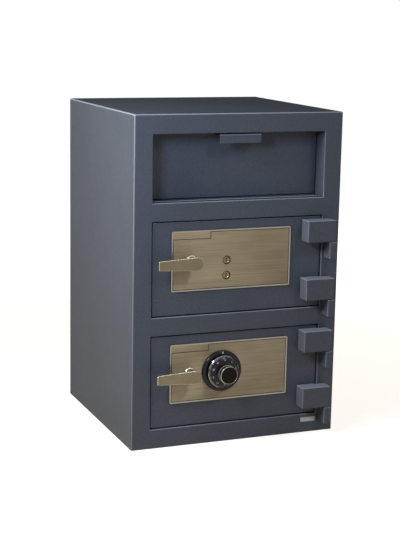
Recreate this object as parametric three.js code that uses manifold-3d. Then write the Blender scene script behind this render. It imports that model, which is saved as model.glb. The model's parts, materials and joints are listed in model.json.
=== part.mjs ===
// Drop safe: a tilting deposit hopper over two hinged, bolted doors. Millimetres, +Z up.
// The origin is the centre of the base's footprint. The front faces -Y, with +X on its right.
import * as THREE from 'three';
import { mergeVertices } from 'three/addons/utils/BufferGeometryUtils.js';
import Module from 'manifold-3d';

const wasm = await Module();
wasm.setup();

// Body
const bodyWidth = 508;
const bodyDepth = 488;
const bodyHeight = 762;
const wall = 6.35;
const frameThickness = 12.7;
const frontRound = 2.5;
const bodyCornerRound = 4;
const stileWidth = 44;
const bottomRail = 45.5;
const middleRail = 43;
const upperRail = 42;
const hopperOpeningHeight = 152;
const topRail = 44.5;
const anchorHoleRadius = 7;
const anchorHoleInset = 90;
const backPlateInset = 3;
const stopReach = 6;
const stopDepth = 6;
const stopRise = 14;
const stopEndInset = 20;
const seat = 0.3;
const joinOverlap = 1;
const roundSides = 24;

// Hopper and its housing
const recessDepth = 42;
const sheet = 3;
const panelSideGap = 2.5;
const panelTopGap = 3;
const panelBottomGap = 3.5;
const sillRise = 2.5;
const pivotBehindPanel = 12;
const pivotAboveOpening = 11.5;
const trayReach = 110;
const trayStartDrop = 5;
const traySlope = 25.7;
const baffleGap = 4;
const baffleLowAngle = -5;
const hopperTravel = 50;
const stopBarWidth = 6;
const trayClearOfStop = 0.6;
const headerFlange = 17;
const housingRear = 18;
const housingDrop = 45;
const cheekGap = 3;
const pivotRadius = 5;
const pivotHeadRadius = 6;
const pivotRunningGap = 0.1;
const bushWall = 1.5;
const bushFlangeWall = 2;
const lipWidth = 100;
const lipHeight = 20;
const lipSetback = 4;

// Doors
const doorThickness = 12.7;
const doorGap = 2.5;
const doorRound = 1.25;
const doorInset = 4;
const facePlateHeight = 138;
const facePlateThickness = 3;
const facePlateInset = 46.5;
const facePlateRightInset = 80.5;
const facePlateRise = 17;
const facePlateCorner = 5;

// Hinges
const hingePinInset = 12.5;
const hingePinRadius = 4.5;
const hingePressGap = 0.05;
const hingeRunningGap = 0.1;
const hingeProud = 32;
const hingeBlockHeight = 50;
const hingeBlockReach = 63.5;
const hingeBlockOverhang = 8.5;
const hingeFootInset = 2;
const topHingeInset = 33.75;
const bottomHingeInset = 47.25;
const knuckleHeight = 40;
const knuckleInner = 6.5;
const knuckleOuter = 11.5;
const hingeEndGap = 1.6;
const hingeCollarRadius = 7.5;
const hingeBlockWall = 12;
const knucklePinDepth = 30;
const hingeRound = 1.5;
const deadBarEndInset = 33.75;
const deadBarFoot = 30;
const deadBarSetBack = 10;
const deadBarStandOff = 5.3;
const deadBarThickness = 12;
const deadBarOverlap = 15;

// Handle and bolt work
const handleInset = 94;
const handleTipInset = 3.2;
const handleTipHeight = 21.5;
const handleHubRadius = 15.5;
const handleThickness = 8;
const handleRound = 1;
const handleStandOff = 31;
const handleTravel = 70;
const neckRadius = 11;
const spindleRadius = 7;
const spindleGap = 0.1;
const neckGap = 0.5;
const boltRadius = 9.5;
const boltClear = 1;
const boltThrow = 24;
const boltTipInset = 7;
const boltEmbed = 11;
const carriageThickness = 6;
const carriageBarInset = 54;
const carriageBarWidth = 18;
const carriageBarOverhang = 12;
const carriageEndGap = 1.5;
const carriageGap = 1.5;
const webAbove = 16;
const webWall = 8.8;
const slotGap = 1.2;
const camHubRadius = 12;
const camPinRadius = 4;
const camPinGap = 0.6;
const camPinEndGap = 1;
const camArmHalfWidth = 7;
const camThickness = 6;
const guideInset = 18;
const guideThickness = 8;
const guideDepth = 23;
const guideOverhang = 16;
const guideHoleGap = 0.1;
const coverInset = 26.5;
const coverWidth = 207.5;
const coverDepth = 40;
const coverSheet = 2;
const coverFlange = 10;
const coverEndGap = 1.25;
const coverNotchGap = 2;

// Locks
const lockCaseWidth = 62;
const lockCaseTop = 44;
const lockCaseBottom = 48;
const lockCaseDepth = 28;
const lockCaseRound = 1;
const lockBoltWidth = 14;
const lockBoltThickness = 8;
const lockBoltLength = 15;
const lockBoltThrow = 9;
const lockBoltProud = 0.6;
const lockBoltGap = 0.25;
const lockBoltTipGap = 2.4;
const tabGap = 0.9;
const tabLift = 2.5;
const tabArm = 12;
const keyLockOffset = 86.5;
const keyLockDrop = 2.75;
const keySpacing = 35.2;
const noseRadius = 9;
const noseHoleGap = 1;
const noseRecess = 2;
const plugRadius = 5.5;
const plugGap = 0.1;
const plugLength = 38;
const plugEndGap = 0.6;
const keywayWidth = 2.4;
const keywayHeight = 8;
const keywayDepth = 12;
const dialOffset = 79.5;
const dialRingRadius = 48;
const dialRingThickness = 6.5;
const dialRingBore = 10;
const dialRingBevel = 3;
const dialRadius = 38;
const dialRimDepth = 7.5;
const dialRound = 1;
const dialGap = 0.5;
const dialConeRise = 6;
const knobBaseRadius = 21.5;
const knobWaistRadius = 19.2;
const knobRadius = 21;
const knobHeight = 26;
const knobRim = 3;
const dialSpindleRadius = 4;
const dialSocketDepth = 8;
const driveCamRadius = 18;
const driveCamThickness = 5;
const camPocketGap = 3;
const camPocketEndGap = 2;

// Places that follow from the sizes above
const frontY = -bodyDepth / 2;
const backY = bodyDepth / 2;
const backPlateRearY = backY - backPlateInset;
const doorFrontY = frontY + doorInset;
const frameBackY = frontY + frameThickness;
const openingHalf = bodyWidth / 2 - stileWidth;
const rails = bottomRail + middleRail + upperRail + topRail;
const doorOpeningHeight = (bodyHeight - rails - hopperOpeningHeight) / 2;
const doorHalfOpening = doorOpeningHeight / 2;
const sideInnerX = bodyWidth / 2 - wall;
const lowerOpeningZ = bottomRail;
const lowerOpeningTop = lowerOpeningZ + doorOpeningHeight;
const upperOpeningZ = lowerOpeningTop + middleRail;
const upperOpeningTop = upperOpeningZ + doorOpeningHeight;
const hopperOpeningZ = upperOpeningTop + upperRail;
const hopperOpeningTop = hopperOpeningZ + hopperOpeningHeight;
const pinX = openingHalf + hingePinInset;
const pinY = -hingeProud / 2;
const handleX = -openingHalf + handleInset;
const handleZ = facePlateRise;
const boltY = doorThickness + boltClear + boltRadius;
const hingeCentreRises = [doorHalfOpening - topHingeInset, bottomHingeInset - doorHalfOpening];
const coverHalfHeight = doorHalfOpening - stopReach - coverEndGap - coverFlange;
const carriageBarHalf = coverHalfHeight - coverSheet - carriageEndGap;
const boltRise = carriageBarHalf - carriageBarOverhang;

// Materials: colours read from the photograph
const paint = { color: '#565b66', roughness: 0.5, metalness: 0.25 };
const plateMetal = { color: '#9d8f75', roughness: 0.32, metalness: 0.9 };
const nickel = { color: '#b9b4a6', roughness: 0.2, metalness: 1 };
const steel = { color: '#8d9095', roughness: 0.4, metalness: 0.9 };
const zinc = { color: '#a3a6a8', roughness: 0.45, metalness: 0.8 };
const brass = { color: '#a88f52', roughness: 0.35, metalness: 0.9 };
const blackDial = { color: '#15151a', roughness: 0.3, metalness: 0.1 };
const nylon = { color: '#d8d4c8', roughness: 0.6, metalness: 0 };

const safe = new THREE.Group();

// Adds one named piece to a group.
function addPiece(group, name, geometry, finish) {
  const mesh = new THREE.Mesh(geometry, new THREE.MeshStandardMaterial(finish));
  mesh.name = name;
  group.add(mesh);
}

// Shapes

// Rectangle from (x0, y0) to (x1, y1), with optional round corners.
function rectangle(x0, y0, x1, y1, corner = 0) {
  const shape = new THREE.Shape();
  if (corner <= 0) {
    shape.setFromPoints([[x0, y0], [x1, y0], [x1, y1], [x0, y1]].map((p) => new THREE.Vector2(...p)));
    return shape;
  }
  shape.moveTo(x0 + corner, y0);
  shape.absarc(x1 - corner, y0 + corner, corner, -Math.PI / 2, 0, false);
  shape.absarc(x1 - corner, y1 - corner, corner, 0, Math.PI / 2, false);
  shape.absarc(x0 + corner, y1 - corner, corner, Math.PI / 2, Math.PI, false);
  shape.absarc(x0 + corner, y0 + corner, corner, Math.PI, Math.PI * 1.5, false);
  shape.closePath();
  return shape;
}

function polygon(points) {
  return new THREE.Shape(points.map(([x, y]) => new THREE.Vector2(x, y)));
}

// The radius of a bore's corners, so that its flat sides stay outside the stated circle.
function boreCorners(radius) {
  return radius / Math.cos(Math.PI / roundSides);
}

function roundHole(x, y, radius) {
  const corners = [];
  for (let i = 0; i < roundSides; i += 1) {
    const angle = -2 * Math.PI * i / roundSides;
    corners.push(new THREE.Vector2(
      x + boreCorners(radius) * Math.cos(angle), y + boreCorners(radius) * Math.sin(angle)));
  }
  return new THREE.Path(corners);
}

function rectangleHole(x0, y0, x1, y1) {
  return new THREE.Path(rectangle(x0, y0, x1, y1).getPoints());
}

// The outline's points, without any that lies on the one before it.
function outlinePoints(path, curveSegments) {
  const points = path.getPoints(curveSegments);
  const before = (i) => points[(i + points.length - 1) % points.length];
  return points.filter((point, i) => point.distanceTo(before(i)) > 1e-3);
}

// Extrudes a shape; the round edge stays inside the shape's outline and depth.
function extrude(shape, depth, round = 0, curveSegments = 10) {
  const outline = new THREE.Shape(outlinePoints(shape, curveSegments));
  outline.holes = shape.holes.map((hole) => new THREE.Path(outlinePoints(hole, curveSegments)));
  const geometry = new THREE.ExtrudeGeometry(outline, {
    depth: depth - 2 * round,
    bevelEnabled: round > 0,
    bevelThickness: round,
    bevelSize: round,
    bevelOffset: -round,
    bevelSegments: 2,
  });
  return geometry.translate(0, 0, round);
}

// A shape drawn in X and Z, running from one Y to another.
function alongY(shape, y0, y1, round = 0, curveSegments = 10) {
  return extrude(shape, y1 - y0, round, curveSegments).rotateX(Math.PI / 2).translate(0, y1, 0);
}

// A shape drawn in Y and Z, running from one X to another.
function alongX(shape, x0, x1, round = 0, curveSegments = 10) {
  const turn = new THREE.Matrix4().makeBasis(
    new THREE.Vector3(0, 1, 0), new THREE.Vector3(0, 0, 1), new THREE.Vector3(1, 0, 0));
  return extrude(shape, x1 - x0, round, curveSegments).applyMatrix4(turn).translate(x0, 0, 0);
}

// A shape drawn in X and Y, running from one Z to another.
function alongZ(shape, z0, z1, round = 0, curveSegments = 10) {
  return extrude(shape, z1 - z0, round, curveSegments).translate(0, 0, z0);
}

function box(x0, y0, z0, x1, y1, z1) {
  const geometry = new THREE.BoxGeometry(x1 - x0, y1 - y0, z1 - z0);
  return geometry.translate((x0 + x1) / 2, (y0 + y1) / 2, (z0 + z1) / 2);
}

function rodAlongX(y, z, x0, x1, radius, sides = roundSides) {
  const geometry = new THREE.CylinderGeometry(radius, radius, x1 - x0, sides);
  return geometry.rotateZ(Math.PI / 2).translate((x0 + x1) / 2, y, z);
}

function rodAlongY(x, z, y0, y1, radius, sides = roundSides) {
  return new THREE.CylinderGeometry(radius, radius, y1 - y0, sides).translate(x, (y0 + y1) / 2, z);
}

function rodAlongZ(x, y, z0, z1, radius, sides = roundSides) {
  const geometry = new THREE.CylinderGeometry(radius, radius, z1 - z0, sides);
  return geometry.rotateX(Math.PI / 2).translate(x, y, (z0 + z1) / 2);
}

// Turned piece about the Y axis through (x, z). Profile points are [radius, y].
function turnedAlongY(profile, x, z, sides) {
  const points = profile.map(([radius, y]) => new THREE.Vector2(radius, y));
  return new THREE.LatheGeometry(points, sides).translate(x, 0, z);
}

// Solids: joins and cuts

function toSolid(geometry) {
  const bare = new THREE.BufferGeometry();
  bare.setAttribute('position', geometry.getAttribute('position').clone());
  if (geometry.index) bare.setIndex(geometry.index.clone());
  const merged = mergeVertices(bare, 1e-4);
  const corners = merged.index.array;
  const triangles = [];
  for (let i = 0; i < corners.length; i += 3) {
    const [a, b, c] = [corners[i], corners[i + 1], corners[i + 2]];
    if (a !== b && b !== c && c !== a) triangles.push(a, b, c);
  }
  return new wasm.Manifold(new wasm.Mesh({
    numProp: 3,
    vertProperties: Float32Array.from(merged.getAttribute('position').array),
    triVerts: Uint32Array.from(triangles),
  }));
}

function toGeometry(solid) {
  const mesh = solid.getMesh();
  const geometry = new THREE.BufferGeometry();
  geometry.setAttribute('position', new THREE.BufferAttribute(Float32Array.from(mesh.vertProperties), 3));
  geometry.setIndex(new THREE.BufferAttribute(Uint32Array.from(mesh.triVerts), 1));
  return geometry;
}

function join(...geometries) {
  return toGeometry(geometries.map(toSolid).reduce((whole, part) => whole.add(part)));
}

function cut(geometry, ...tools) {
  return toGeometry(tools.map(toSolid).reduce((whole, tool) => whole.subtract(tool), toSolid(geometry)));
}

// Body: welded plates behind a thick front frame

function addBody(group) {
  const plateFront = frameBackY + seat;
  const sideProfile = (outer, inner) => rectangle(
    Math.min(outer, inner), wall + seat, Math.max(outer, inner), bodyHeight - wall - seat);
  const leftPlate = alongY(sideProfile(-bodyWidth / 2, -sideInnerX), plateFront, backY);
  const rightPlate = alongY(sideProfile(bodyWidth / 2, sideInnerX), plateFront, backY);
  addPiece(group, 'left_side_plate', leftPlate, paint);
  addPiece(group, 'right_side_plate', rightPlate, paint);
  addPiece(group, 'top_plate', alongY(bodyOutline(bodyHeight - wall), plateFront, backY, 0, 4), paint);
  addPiece(group, 'bottom_plate', bottomPlate(plateFront), paint);
  const backPlate = rectangle(-sideInnerX + seat, wall + seat, sideInnerX - seat, bodyHeight - wall - seat);
  addPiece(group, 'back_plate', alongY(backPlate, backPlateRearY - wall, backPlateRearY), paint);
  const shelfZ = lowerOpeningTop + middleRail / 2;
  const shelf = rectangle(-sideInnerX + seat, shelfZ - wall / 2, sideInnerX - seat, shelfZ + wall / 2);
  addPiece(group, 'divider_shelf', alongY(shelf, plateFront, backPlateRearY - wall - seat), paint);
  addPiece(group, 'front_frame', frontFrame(), paint);
}

// The body's outline from a height up to the top, with round top corners.
function bodyOutline(bottomZ) {
  const half = bodyWidth / 2;
  const corner = bodyCornerRound;
  const shape = new THREE.Shape();
  shape.moveTo(-half, bottomZ);
  shape.lineTo(half, bottomZ);
  shape.absarc(half - corner, bodyHeight - corner, corner, 0, Math.PI / 2, false);
  shape.absarc(-half + corner, bodyHeight - corner, corner, Math.PI / 2, Math.PI, false);
  shape.closePath();
  return shape;
}

// The bottom plate, with four holes for floor anchors.
function bottomPlate(plateFront) {
  const shape = rectangle(-bodyWidth / 2, plateFront, bodyWidth / 2, backY);
  const holeX = bodyWidth / 2 - anchorHoleInset;
  const holeY = bodyDepth / 2 - anchorHoleInset;
  for (const x of [-holeX, holeX]) {
    for (const y of [-holeY, holeY]) shape.holes.push(roundHole(x, y, anchorHoleRadius));
  }
  return alongZ(shape, 0, wall);
}

// One thick plate with three openings, and door stops along the top and bottom of both door openings.
function frontFrame() {
  const shape = bodyOutline(0);
  const openings = [
    [lowerOpeningZ, lowerOpeningTop],
    [upperOpeningZ, upperOpeningTop],
    [hopperOpeningZ, hopperOpeningTop],
  ];
  for (const [bottom, top] of openings) {
    shape.holes.push(rectangleHole(-openingHalf, bottom, openingHalf, top));
  }
  const roundBothSides = alongY(shape, frontY, frameBackY + frontRound + seat, frontRound, 4);
  const rearTrim = box(
    -bodyWidth, frameBackY, -seat, bodyWidth, frameBackY + 2 * (frontRound + seat), bodyHeight + seat);
  const plate = cut(roundBothSides, rearTrim);
  const stops = [];
  for (const [bottom, top] of openings.slice(0, 2)) {
    stops.push(doorStop(bottom, -1), doorStop(top, 1));
  }
  return join(plate, ...stops);
}

// A strip welded behind the rail at an opening's edge; away is +1 at the top edge and -1 at the bottom.
function doorStop(edgeZ, away) {
  const weldY = frameBackY - seat;
  const faceY = doorFrontY + doorThickness + seat;
  const rearY = faceY + stopDepth;
  const outer = edgeZ + away * stopRise;
  const shape = polygon([
    [weldY, edgeZ + away * seat], [faceY, edgeZ + away * seat],
    [faceY, edgeZ - away * stopReach], [rearY, edgeZ - away * stopReach], [rearY, outer], [weldY, outer],
  ]);
  return alongX(shape, -openingHalf + stopEndInset, openingHalf - stopEndInset);
}

// Deposit hopper: a bottom-hinged panel with cheeks and a sloping tray

const panelY = frontY + recessDepth;
const pivotY = panelY + pivotBehindPanel;
const pivotZ = hopperOpeningZ + pivotAboveOpening;
const panelTop = hopperOpeningTop - panelTopGap;
const panelBottom = hopperOpeningZ + panelBottomGap;
const cheekOuterX = openingHalf - cheekGap;
const cheekInnerX = cheekOuterX - sheet;
const baffleInner = trayReach + baffleGap;
const housingBackY = pivotY + baffleInner + sheet + housingRear;
const bushRadius = pivotRadius + pivotRunningGap + bushWall;

function degrees(angle) {
  return angle * Math.PI / 180;
}

// A point in the hopper's YZ plane at a radius and angle from its pivot; 0 degrees points to the rear.
function aroundPivot(radius, angle) {
  return [pivotY + radius * Math.cos(degrees(angle)), pivotZ + radius * Math.sin(degrees(angle))];
}

function addHopperHousing(group) {
  for (const [side, sign] of [['left', -1], ['right', 1]]) {
    addPiece(group, `hopper_housing_${side}_wall`, housingWall(sign), paint);
    addPiece(group, `${side}_pivot_bush`, pivotBush(sign), nylon);
  }
  const innerHalf = openingHalf - seat;
  const sillBackY = panelY - panelBottomGap;
  addPiece(group, 'hopper_sill',
    box(-innerHalf, frameBackY + seat, hopperOpeningZ + sillRise - sheet, innerHalf, sillBackY,
      hopperOpeningZ + sillRise), paint);
  const flangeY = panelY + sheet + seat;
  const header = polygon([
    [frameBackY + seat, hopperOpeningTop], [flangeY, hopperOpeningTop],
    [flangeY, hopperOpeningTop - headerFlange], [flangeY + sheet, hopperOpeningTop - headerFlange],
    [flangeY + sheet, hopperOpeningTop + sheet], [frameBackY + seat, hopperOpeningTop + sheet],
  ]);
  addPiece(group, 'hopper_header', alongX(header, -innerHalf, innerHalf), paint);
  addPiece(group, 'anti_fishing_baffle', alongX(baffleProfile(), -innerHalf, innerHalf), paint);
  addPiece(group, 'hopper_stop_bar', stopBar(), steel);
}

function housingWall(sign) {
  const shape = rectangle(
    frameBackY + seat, hopperOpeningZ - housingDrop, housingBackY, hopperOpeningTop + sheet);
  shape.holes.push(roundHole(pivotY, pivotZ, bushRadius + seat / 2));
  const inner = sign * openingHalf;
  const outer = sign * (openingHalf + sheet);
  return alongX(shape, Math.min(inner, outer), Math.max(inner, outer));
}

// A flanged bush pressed into the wall; its flange fills the gap beside the cheek.
function pivotBush(sign) {
  const flangeInnerX = cheekOuterX + seat;
  const sleeve = new THREE.Shape();
  sleeve.absarc(pivotY, pivotZ, bushRadius, 0, Math.PI * 2, false);
  const flange = new THREE.Shape();
  flange.absarc(pivotY, pivotZ, bushRadius + bushFlangeWall, 0, Math.PI * 2, false);
  const bore = roundHole(pivotY, pivotZ, pivotRadius + pivotRunningGap);
  for (const ring of [sleeve, flange]) ring.holes.push(bore);
  const flangeOuterX = openingHalf - seat;
  const bush = join(
    alongX(flange, flangeInnerX, flangeOuterX),
    alongX(sleeve, flangeInnerX, openingHalf + sheet));
  return sign > 0 ? bush : bush.rotateZ(Math.PI).translate(0, 2 * pivotY, 0);
}

// A quarter drum behind the tray's sweep, carried up to the header.
function baffleProfile() {
  const start = degrees(baffleLowAngle);
  const baffleOuter = baffleInner + sheet;
  const topZ = hopperOpeningTop - seat;
  const shape = new THREE.Shape();
  shape.absarc(pivotY, pivotZ, baffleInner, start, Math.PI / 2, false);
  shape.lineTo(pivotY, topZ);
  shape.lineTo(pivotY + sheet, topZ);
  shape.absarc(pivotY, pivotZ, baffleOuter, Math.acos(sheet / baffleOuter), start, true);
  shape.closePath();
  return shape;
}

// The bar inside the baffle that the tray's end meets when the hopper is fully out.
function stopBar() {
  const outerRadius = baffleInner - seat;
  const innerRadius = trayReach - stopBarWidth;
  const tipAngle = hopperTravel - traySlopeAtTip() + trayTipHalfAngle();
  const bottom = tipAngle + Math.asin(trayClearOfStop / trayReach) * 180 / Math.PI;
  const middle = degrees(bottom) + stopBarWidth / 2 / trayReach;
  const along = [Math.cos(middle), Math.sin(middle)];
  const across = [-along[1], along[0]];
  const corner = (radius, side) => [
    pivotY + along[0] * radius + across[0] * side * stopBarWidth / 2,
    pivotZ + along[1] * radius + across[1] * side * stopBarWidth / 2,
  ];
  const reach = Math.sqrt(outerRadius ** 2 - (stopBarWidth / 2) ** 2);
  const shape = polygon([
    corner(innerRadius, -1), corner(reach, -1), corner(reach, 1), corner(innerRadius, 1),
  ]);
  const half = cheekInnerX - cheekGap;
  return alongX(shape, -half, half);
}

// The tray's line starts behind the panel, below the pivot, and runs down to the rear.
function trayStart() {
  return [panelY + sheet + seat - pivotY, -trayStartDrop];
}

function trayEnd() {
  const [y, z] = trayStart();
  const [dy, dz] = [Math.cos(degrees(traySlope)), -Math.sin(degrees(traySlope))];
  const along = y * dy + z * dz;
  const reach = -along + Math.sqrt(along ** 2 - (y ** 2 + z ** 2) + (trayReach - sheet) ** 2);
  return [y + dy * reach, z + dz * reach];
}

function traySlopeAtTip() {
  const [y, z] = trayEnd();
  return -Math.atan2(z, y) * 180 / Math.PI;
}

function trayTipHalfAngle() {
  return sheet / 2 / trayReach * 180 / Math.PI;
}

function trayProfile() {
  const [y0, z0] = trayStart();
  const [y1, z1] = trayEnd();
  const offset = [Math.sin(degrees(traySlope)) * sheet / 2, Math.cos(degrees(traySlope)) * sheet / 2];
  return polygon([
    [pivotY + y0, pivotZ + z0 - offset[1]], [pivotY + y1 - offset[0], pivotZ + z1 - offset[1]],
    [pivotY + y1 + offset[0], pivotZ + z1 + offset[1]], [pivotY + y0, pivotZ + z0 + offset[1]],
  ]);
}

function cheekProfile() {
  const frontEdge = panelY + sheet + seat;
  const bottomAngle = -traySlopeAtTip() - 2 * trayTipHalfAngle();
  const topAngle = 180 - Math.acos((pivotY - frontEdge) / trayReach) * 180 / Math.PI;
  const shape = new THREE.Shape();
  shape.moveTo(frontEdge, pivotZ - trayStartDrop - sheet);
  shape.lineTo(...aroundPivot(trayReach, bottomAngle));
  shape.absarc(pivotY, pivotZ, trayReach, degrees(bottomAngle), degrees(topAngle), false);
  shape.closePath();
  shape.holes.push(roundHole(pivotY, pivotZ, pivotRadius + hingePressGap));
  return shape;
}

function addHopper(group) {
  const panelHalf = openingHalf - panelSideGap;
  const panel = box(-panelHalf, panelY, panelBottom, panelHalf, panelY + sheet, panelTop);
  addPiece(group, 'hopper_panel', panel, paint);
  addPiece(group, 'pull_lip', pullLip(), paint);
  addPiece(group, 'hopper_left_cheek', alongX(cheekProfile(), -cheekOuterX, -cheekInnerX), paint);
  addPiece(group, 'hopper_right_cheek', alongX(cheekProfile(), cheekInnerX, cheekOuterX), paint);
  addPiece(group, 'deposit_tray', alongX(trayProfile(), -cheekInnerX + seat, cheekInnerX - seat), paint);
  addPiece(group, 'left_pivot_pin', pivotPin(-1), steel);
  addPiece(group, 'right_pivot_pin', pivotPin(1), steel);
}

// A bent strip: a top flange from the panel, and a front flange that fingers reach behind.
function pullLip() {
  const lipY = frontY + lipSetback;
  const shape = polygon([
    [lipY, panelTop - lipHeight], [lipY + sheet, panelTop - lipHeight], [lipY + sheet, panelTop - sheet],
    [panelY - seat, panelTop - sheet], [panelY - seat, panelTop], [lipY, panelTop],
  ]);
  return alongX(shape, -lipWidth / 2, lipWidth / 2);
}

function pivotPin(sign) {
  const headOuterX = cheekInnerX - seat;
  const shaft = rodAlongX(pivotY, pivotZ, headOuterX - joinOverlap, openingHalf + sheet + seat, pivotRadius);
  const head = rodAlongX(pivotY, pivotZ, headOuterX - sheet, headOuterX, pivotHeadRadius);
  const pin = join(shaft, head);
  return sign > 0 ? pin : pin.rotateZ(Math.PI).translate(0, 2 * pivotY, 0);
}

// Hinges, drawn from the centre of the door's opening, with y = 0 on the frame's front face.

function hingeBlockBottom(rise) {
  return rise - hingeBlockHeight / 2;
}

// The block's rear right corner is round about the pin, so it clears the stile as the door turns.
// Its foot reaches into the opening, to the door's face.
function hingeBlock(rise) {
  const left = pinX - hingeBlockReach;
  const right = pinX + hingeBlockOverhang;
  const turnRadius = -pinY - seat;
  const rearAtRight = pinY + Math.sqrt(turnRadius ** 2 - hingeBlockOverhang ** 2);
  const shape = new THREE.Shape();
  shape.moveTo(left, -hingeProud);
  shape.lineTo(right, -hingeProud);
  shape.lineTo(right, rearAtRight);
  shape.absarc(
    pinX, pinY, turnRadius, Math.atan2(rearAtRight - pinY, hingeBlockOverhang), Math.PI / 2, false);
  const footRight = openingHalf - doorGap - hingeFootInset;
  shape.lineTo(footRight, -seat);
  shape.lineTo(footRight, doorInset - seat);
  shape.lineTo(left, doorInset - seat);
  shape.closePath();
  const bottom = hingeBlockBottom(rise);
  const top = bottom + hingeBlockHeight;
  const bore = rodAlongZ(
    pinX, pinY, bottom - seat, top - hingeBlockWall, boreCorners(hingePinRadius + hingeRunningGap));
  return cut(alongZ(shape, bottom, top, hingeRound, 3), bore);
}

function hingeKnuckle(rise) {
  const top = hingeBlockBottom(rise) - hingeEndGap;
  const shape = rectangle(pinX - knuckleInner, -hingeProud, pinX + knuckleOuter, -seat);
  const bore = rodAlongZ(
    pinX, pinY, top - knucklePinDepth, top + seat, boreCorners(hingePinRadius + hingePressGap));
  return cut(alongZ(shape, top - knuckleHeight, top, hingeRound), bore);
}

// The pin, with the thrust collar that the block turns on.
function hingePin(rise) {
  const bottom = hingeBlockBottom(rise);
  const pin = rodAlongZ(
    pinX, pinY, bottom - hingeEndGap - knucklePinDepth + seat,
    bottom + hingeBlockHeight - hingeBlockWall - seat, hingePinRadius);
  const collar = rodAlongZ(pinX, pinY, bottom - hingeEndGap + seat / 2, bottom - seat / 2, hingeCollarRadius);
  return join(pin, collar);
}

function addHinges(group, door) {
  const places = ['top', 'bottom'];
  places.forEach((place, i) => {
    addPiece(group, `${door}_door_${place}_knuckle`, hingeKnuckle(hingeCentreRises[i]), paint);
    addPiece(group, `${door}_door_${place}_hinge_pin`, hingePin(hingeCentreRises[i]), steel);
    addPiece(group, `${door}_door_${place}_hinge_block`, hingeBlock(hingeCentreRises[i]), paint);
  });
}

// Doors, drawn from the centre of the door's opening, with y = 0 on the door's own front face

function addDoor(group, door, lock) {
  addPiece(group, `${door}_door_plate`, doorPlate(lock), paint);
  addPiece(group, `${door}_face_plate`, facePlate(lock), plateMetal);
  addPiece(group, `${door}_dead_bar`, deadBar(), steel);
  addPiece(group, `${door}_bolt_guide`, boltGuide(), steel);
  addPiece(group, `${door}_bolt_cover`, boltCover(), zinc);
  addPiece(group, `${door}_handle`, handle(), nickel);
  addPiece(group, `${door}_handle_spindle`, handleSpindle(), steel);
  addPiece(group, `${door}_bolt_carriage`, boltCarriage(lock), steel);
  addPiece(group, `${door}_lock_case`, lock.makeCase(lock), zinc);
  addPiece(group, `${door}_lock_bolt`, lockBolt(lock), brass);
}

function doorPlate(lock) {
  const halfWidth = openingHalf - doorGap;
  const halfHeight = doorHalfOpening - doorGap;
  const shape = rectangle(-halfWidth, -halfHeight, halfWidth, halfHeight);
  const spindleHole = rodAlongY(
    handleX, handleZ, -seat, doorThickness + seat, boreCorners(spindleRadius + spindleGap));
  const holes = lock.holes.map(([x, z, radius]) => rodAlongY(
    x, z, -seat, doorThickness + seat, boreCorners(radius)));
  return cut(alongY(shape, 0, doorThickness, doorRound), spindleHole, ...holes);
}

function facePlate(lock) {
  const left = -openingHalf + facePlateInset;
  const right = openingHalf - facePlateRightInset;
  const shape = rectangle(
    left, facePlateRise - facePlateHeight / 2, right, facePlateRise + facePlateHeight / 2, facePlateCorner);
  shape.holes.push(roundHole(handleX, handleZ, spindleRadius + spindleGap));
  for (const [x, z, radius] of lock.holes) shape.holes.push(roundHole(x, z, radius));
  return alongY(shape, -facePlateThickness - seat, -seat, 0, 4);
}

// A stepped bar on the hinge side; its tongue stays behind the stile while the door is shut.
function deadBar() {
  const tongueX = openingHalf + deadBarOverlap;
  const stepX = openingHalf - deadBarSetBack;
  const footX = stepX - deadBarFoot;
  const footY = doorThickness + seat;
  const tongueY = doorThickness + deadBarStandOff;
  const rearY = tongueY + deadBarThickness;
  const shape = polygon([
    [footX, footY], [stepX, footY], [stepX, tongueY], [tongueX, tongueY], [tongueX, rearY], [footX, rearY],
  ]);
  const half = doorHalfOpening - deadBarEndInset;
  return alongZ(shape, -half, half);
}

// A welded bar with a running hole for each bolt.
function boltGuide() {
  const left = -openingHalf + guideInset;
  const halfHeight = boltRise + guideOverhang;
  const bar = box(
    left, doorThickness + seat, -halfHeight, left + guideThickness, doorThickness + guideDepth, halfHeight);
  const holes = [-boltRise, boltRise].map((z) => rodAlongX(
    boltY, z, left - seat, left + guideThickness + seat, boreCorners(boltRadius + guideHoleGap)));
  return cut(bar, ...holes);
}

// A five-sided tray over the bolt work, open to the door, with notches for the bolts and two screw flanges.
function boltCover() {
  const left = -openingHalf + coverInset;
  const right = left + coverWidth;
  const front = doorThickness + seat;
  const rear = doorThickness + coverDepth;
  const outer = box(left, front, -coverHalfHeight, right, rear, coverHalfHeight);
  const flanges = box(
    left, front, -coverHalfHeight - coverFlange,
    right, front + coverSheet, coverHalfHeight + coverFlange);
  const hollow = box(
    left + coverSheet, front - seat, -coverHalfHeight + coverSheet,
    right - coverSheet, rear - coverSheet, coverHalfHeight - coverSheet);
  const notchHalf = boltRadius + coverNotchGap;
  const notches = [-boltRise, boltRise].map((z) => box(
    left - seat, front - seat, z - notchHalf, left + coverSheet + seat, boltY + notchHalf, z + notchHalf));
  return cut(join(outer, flanges), hollow, ...notches);
}

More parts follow.
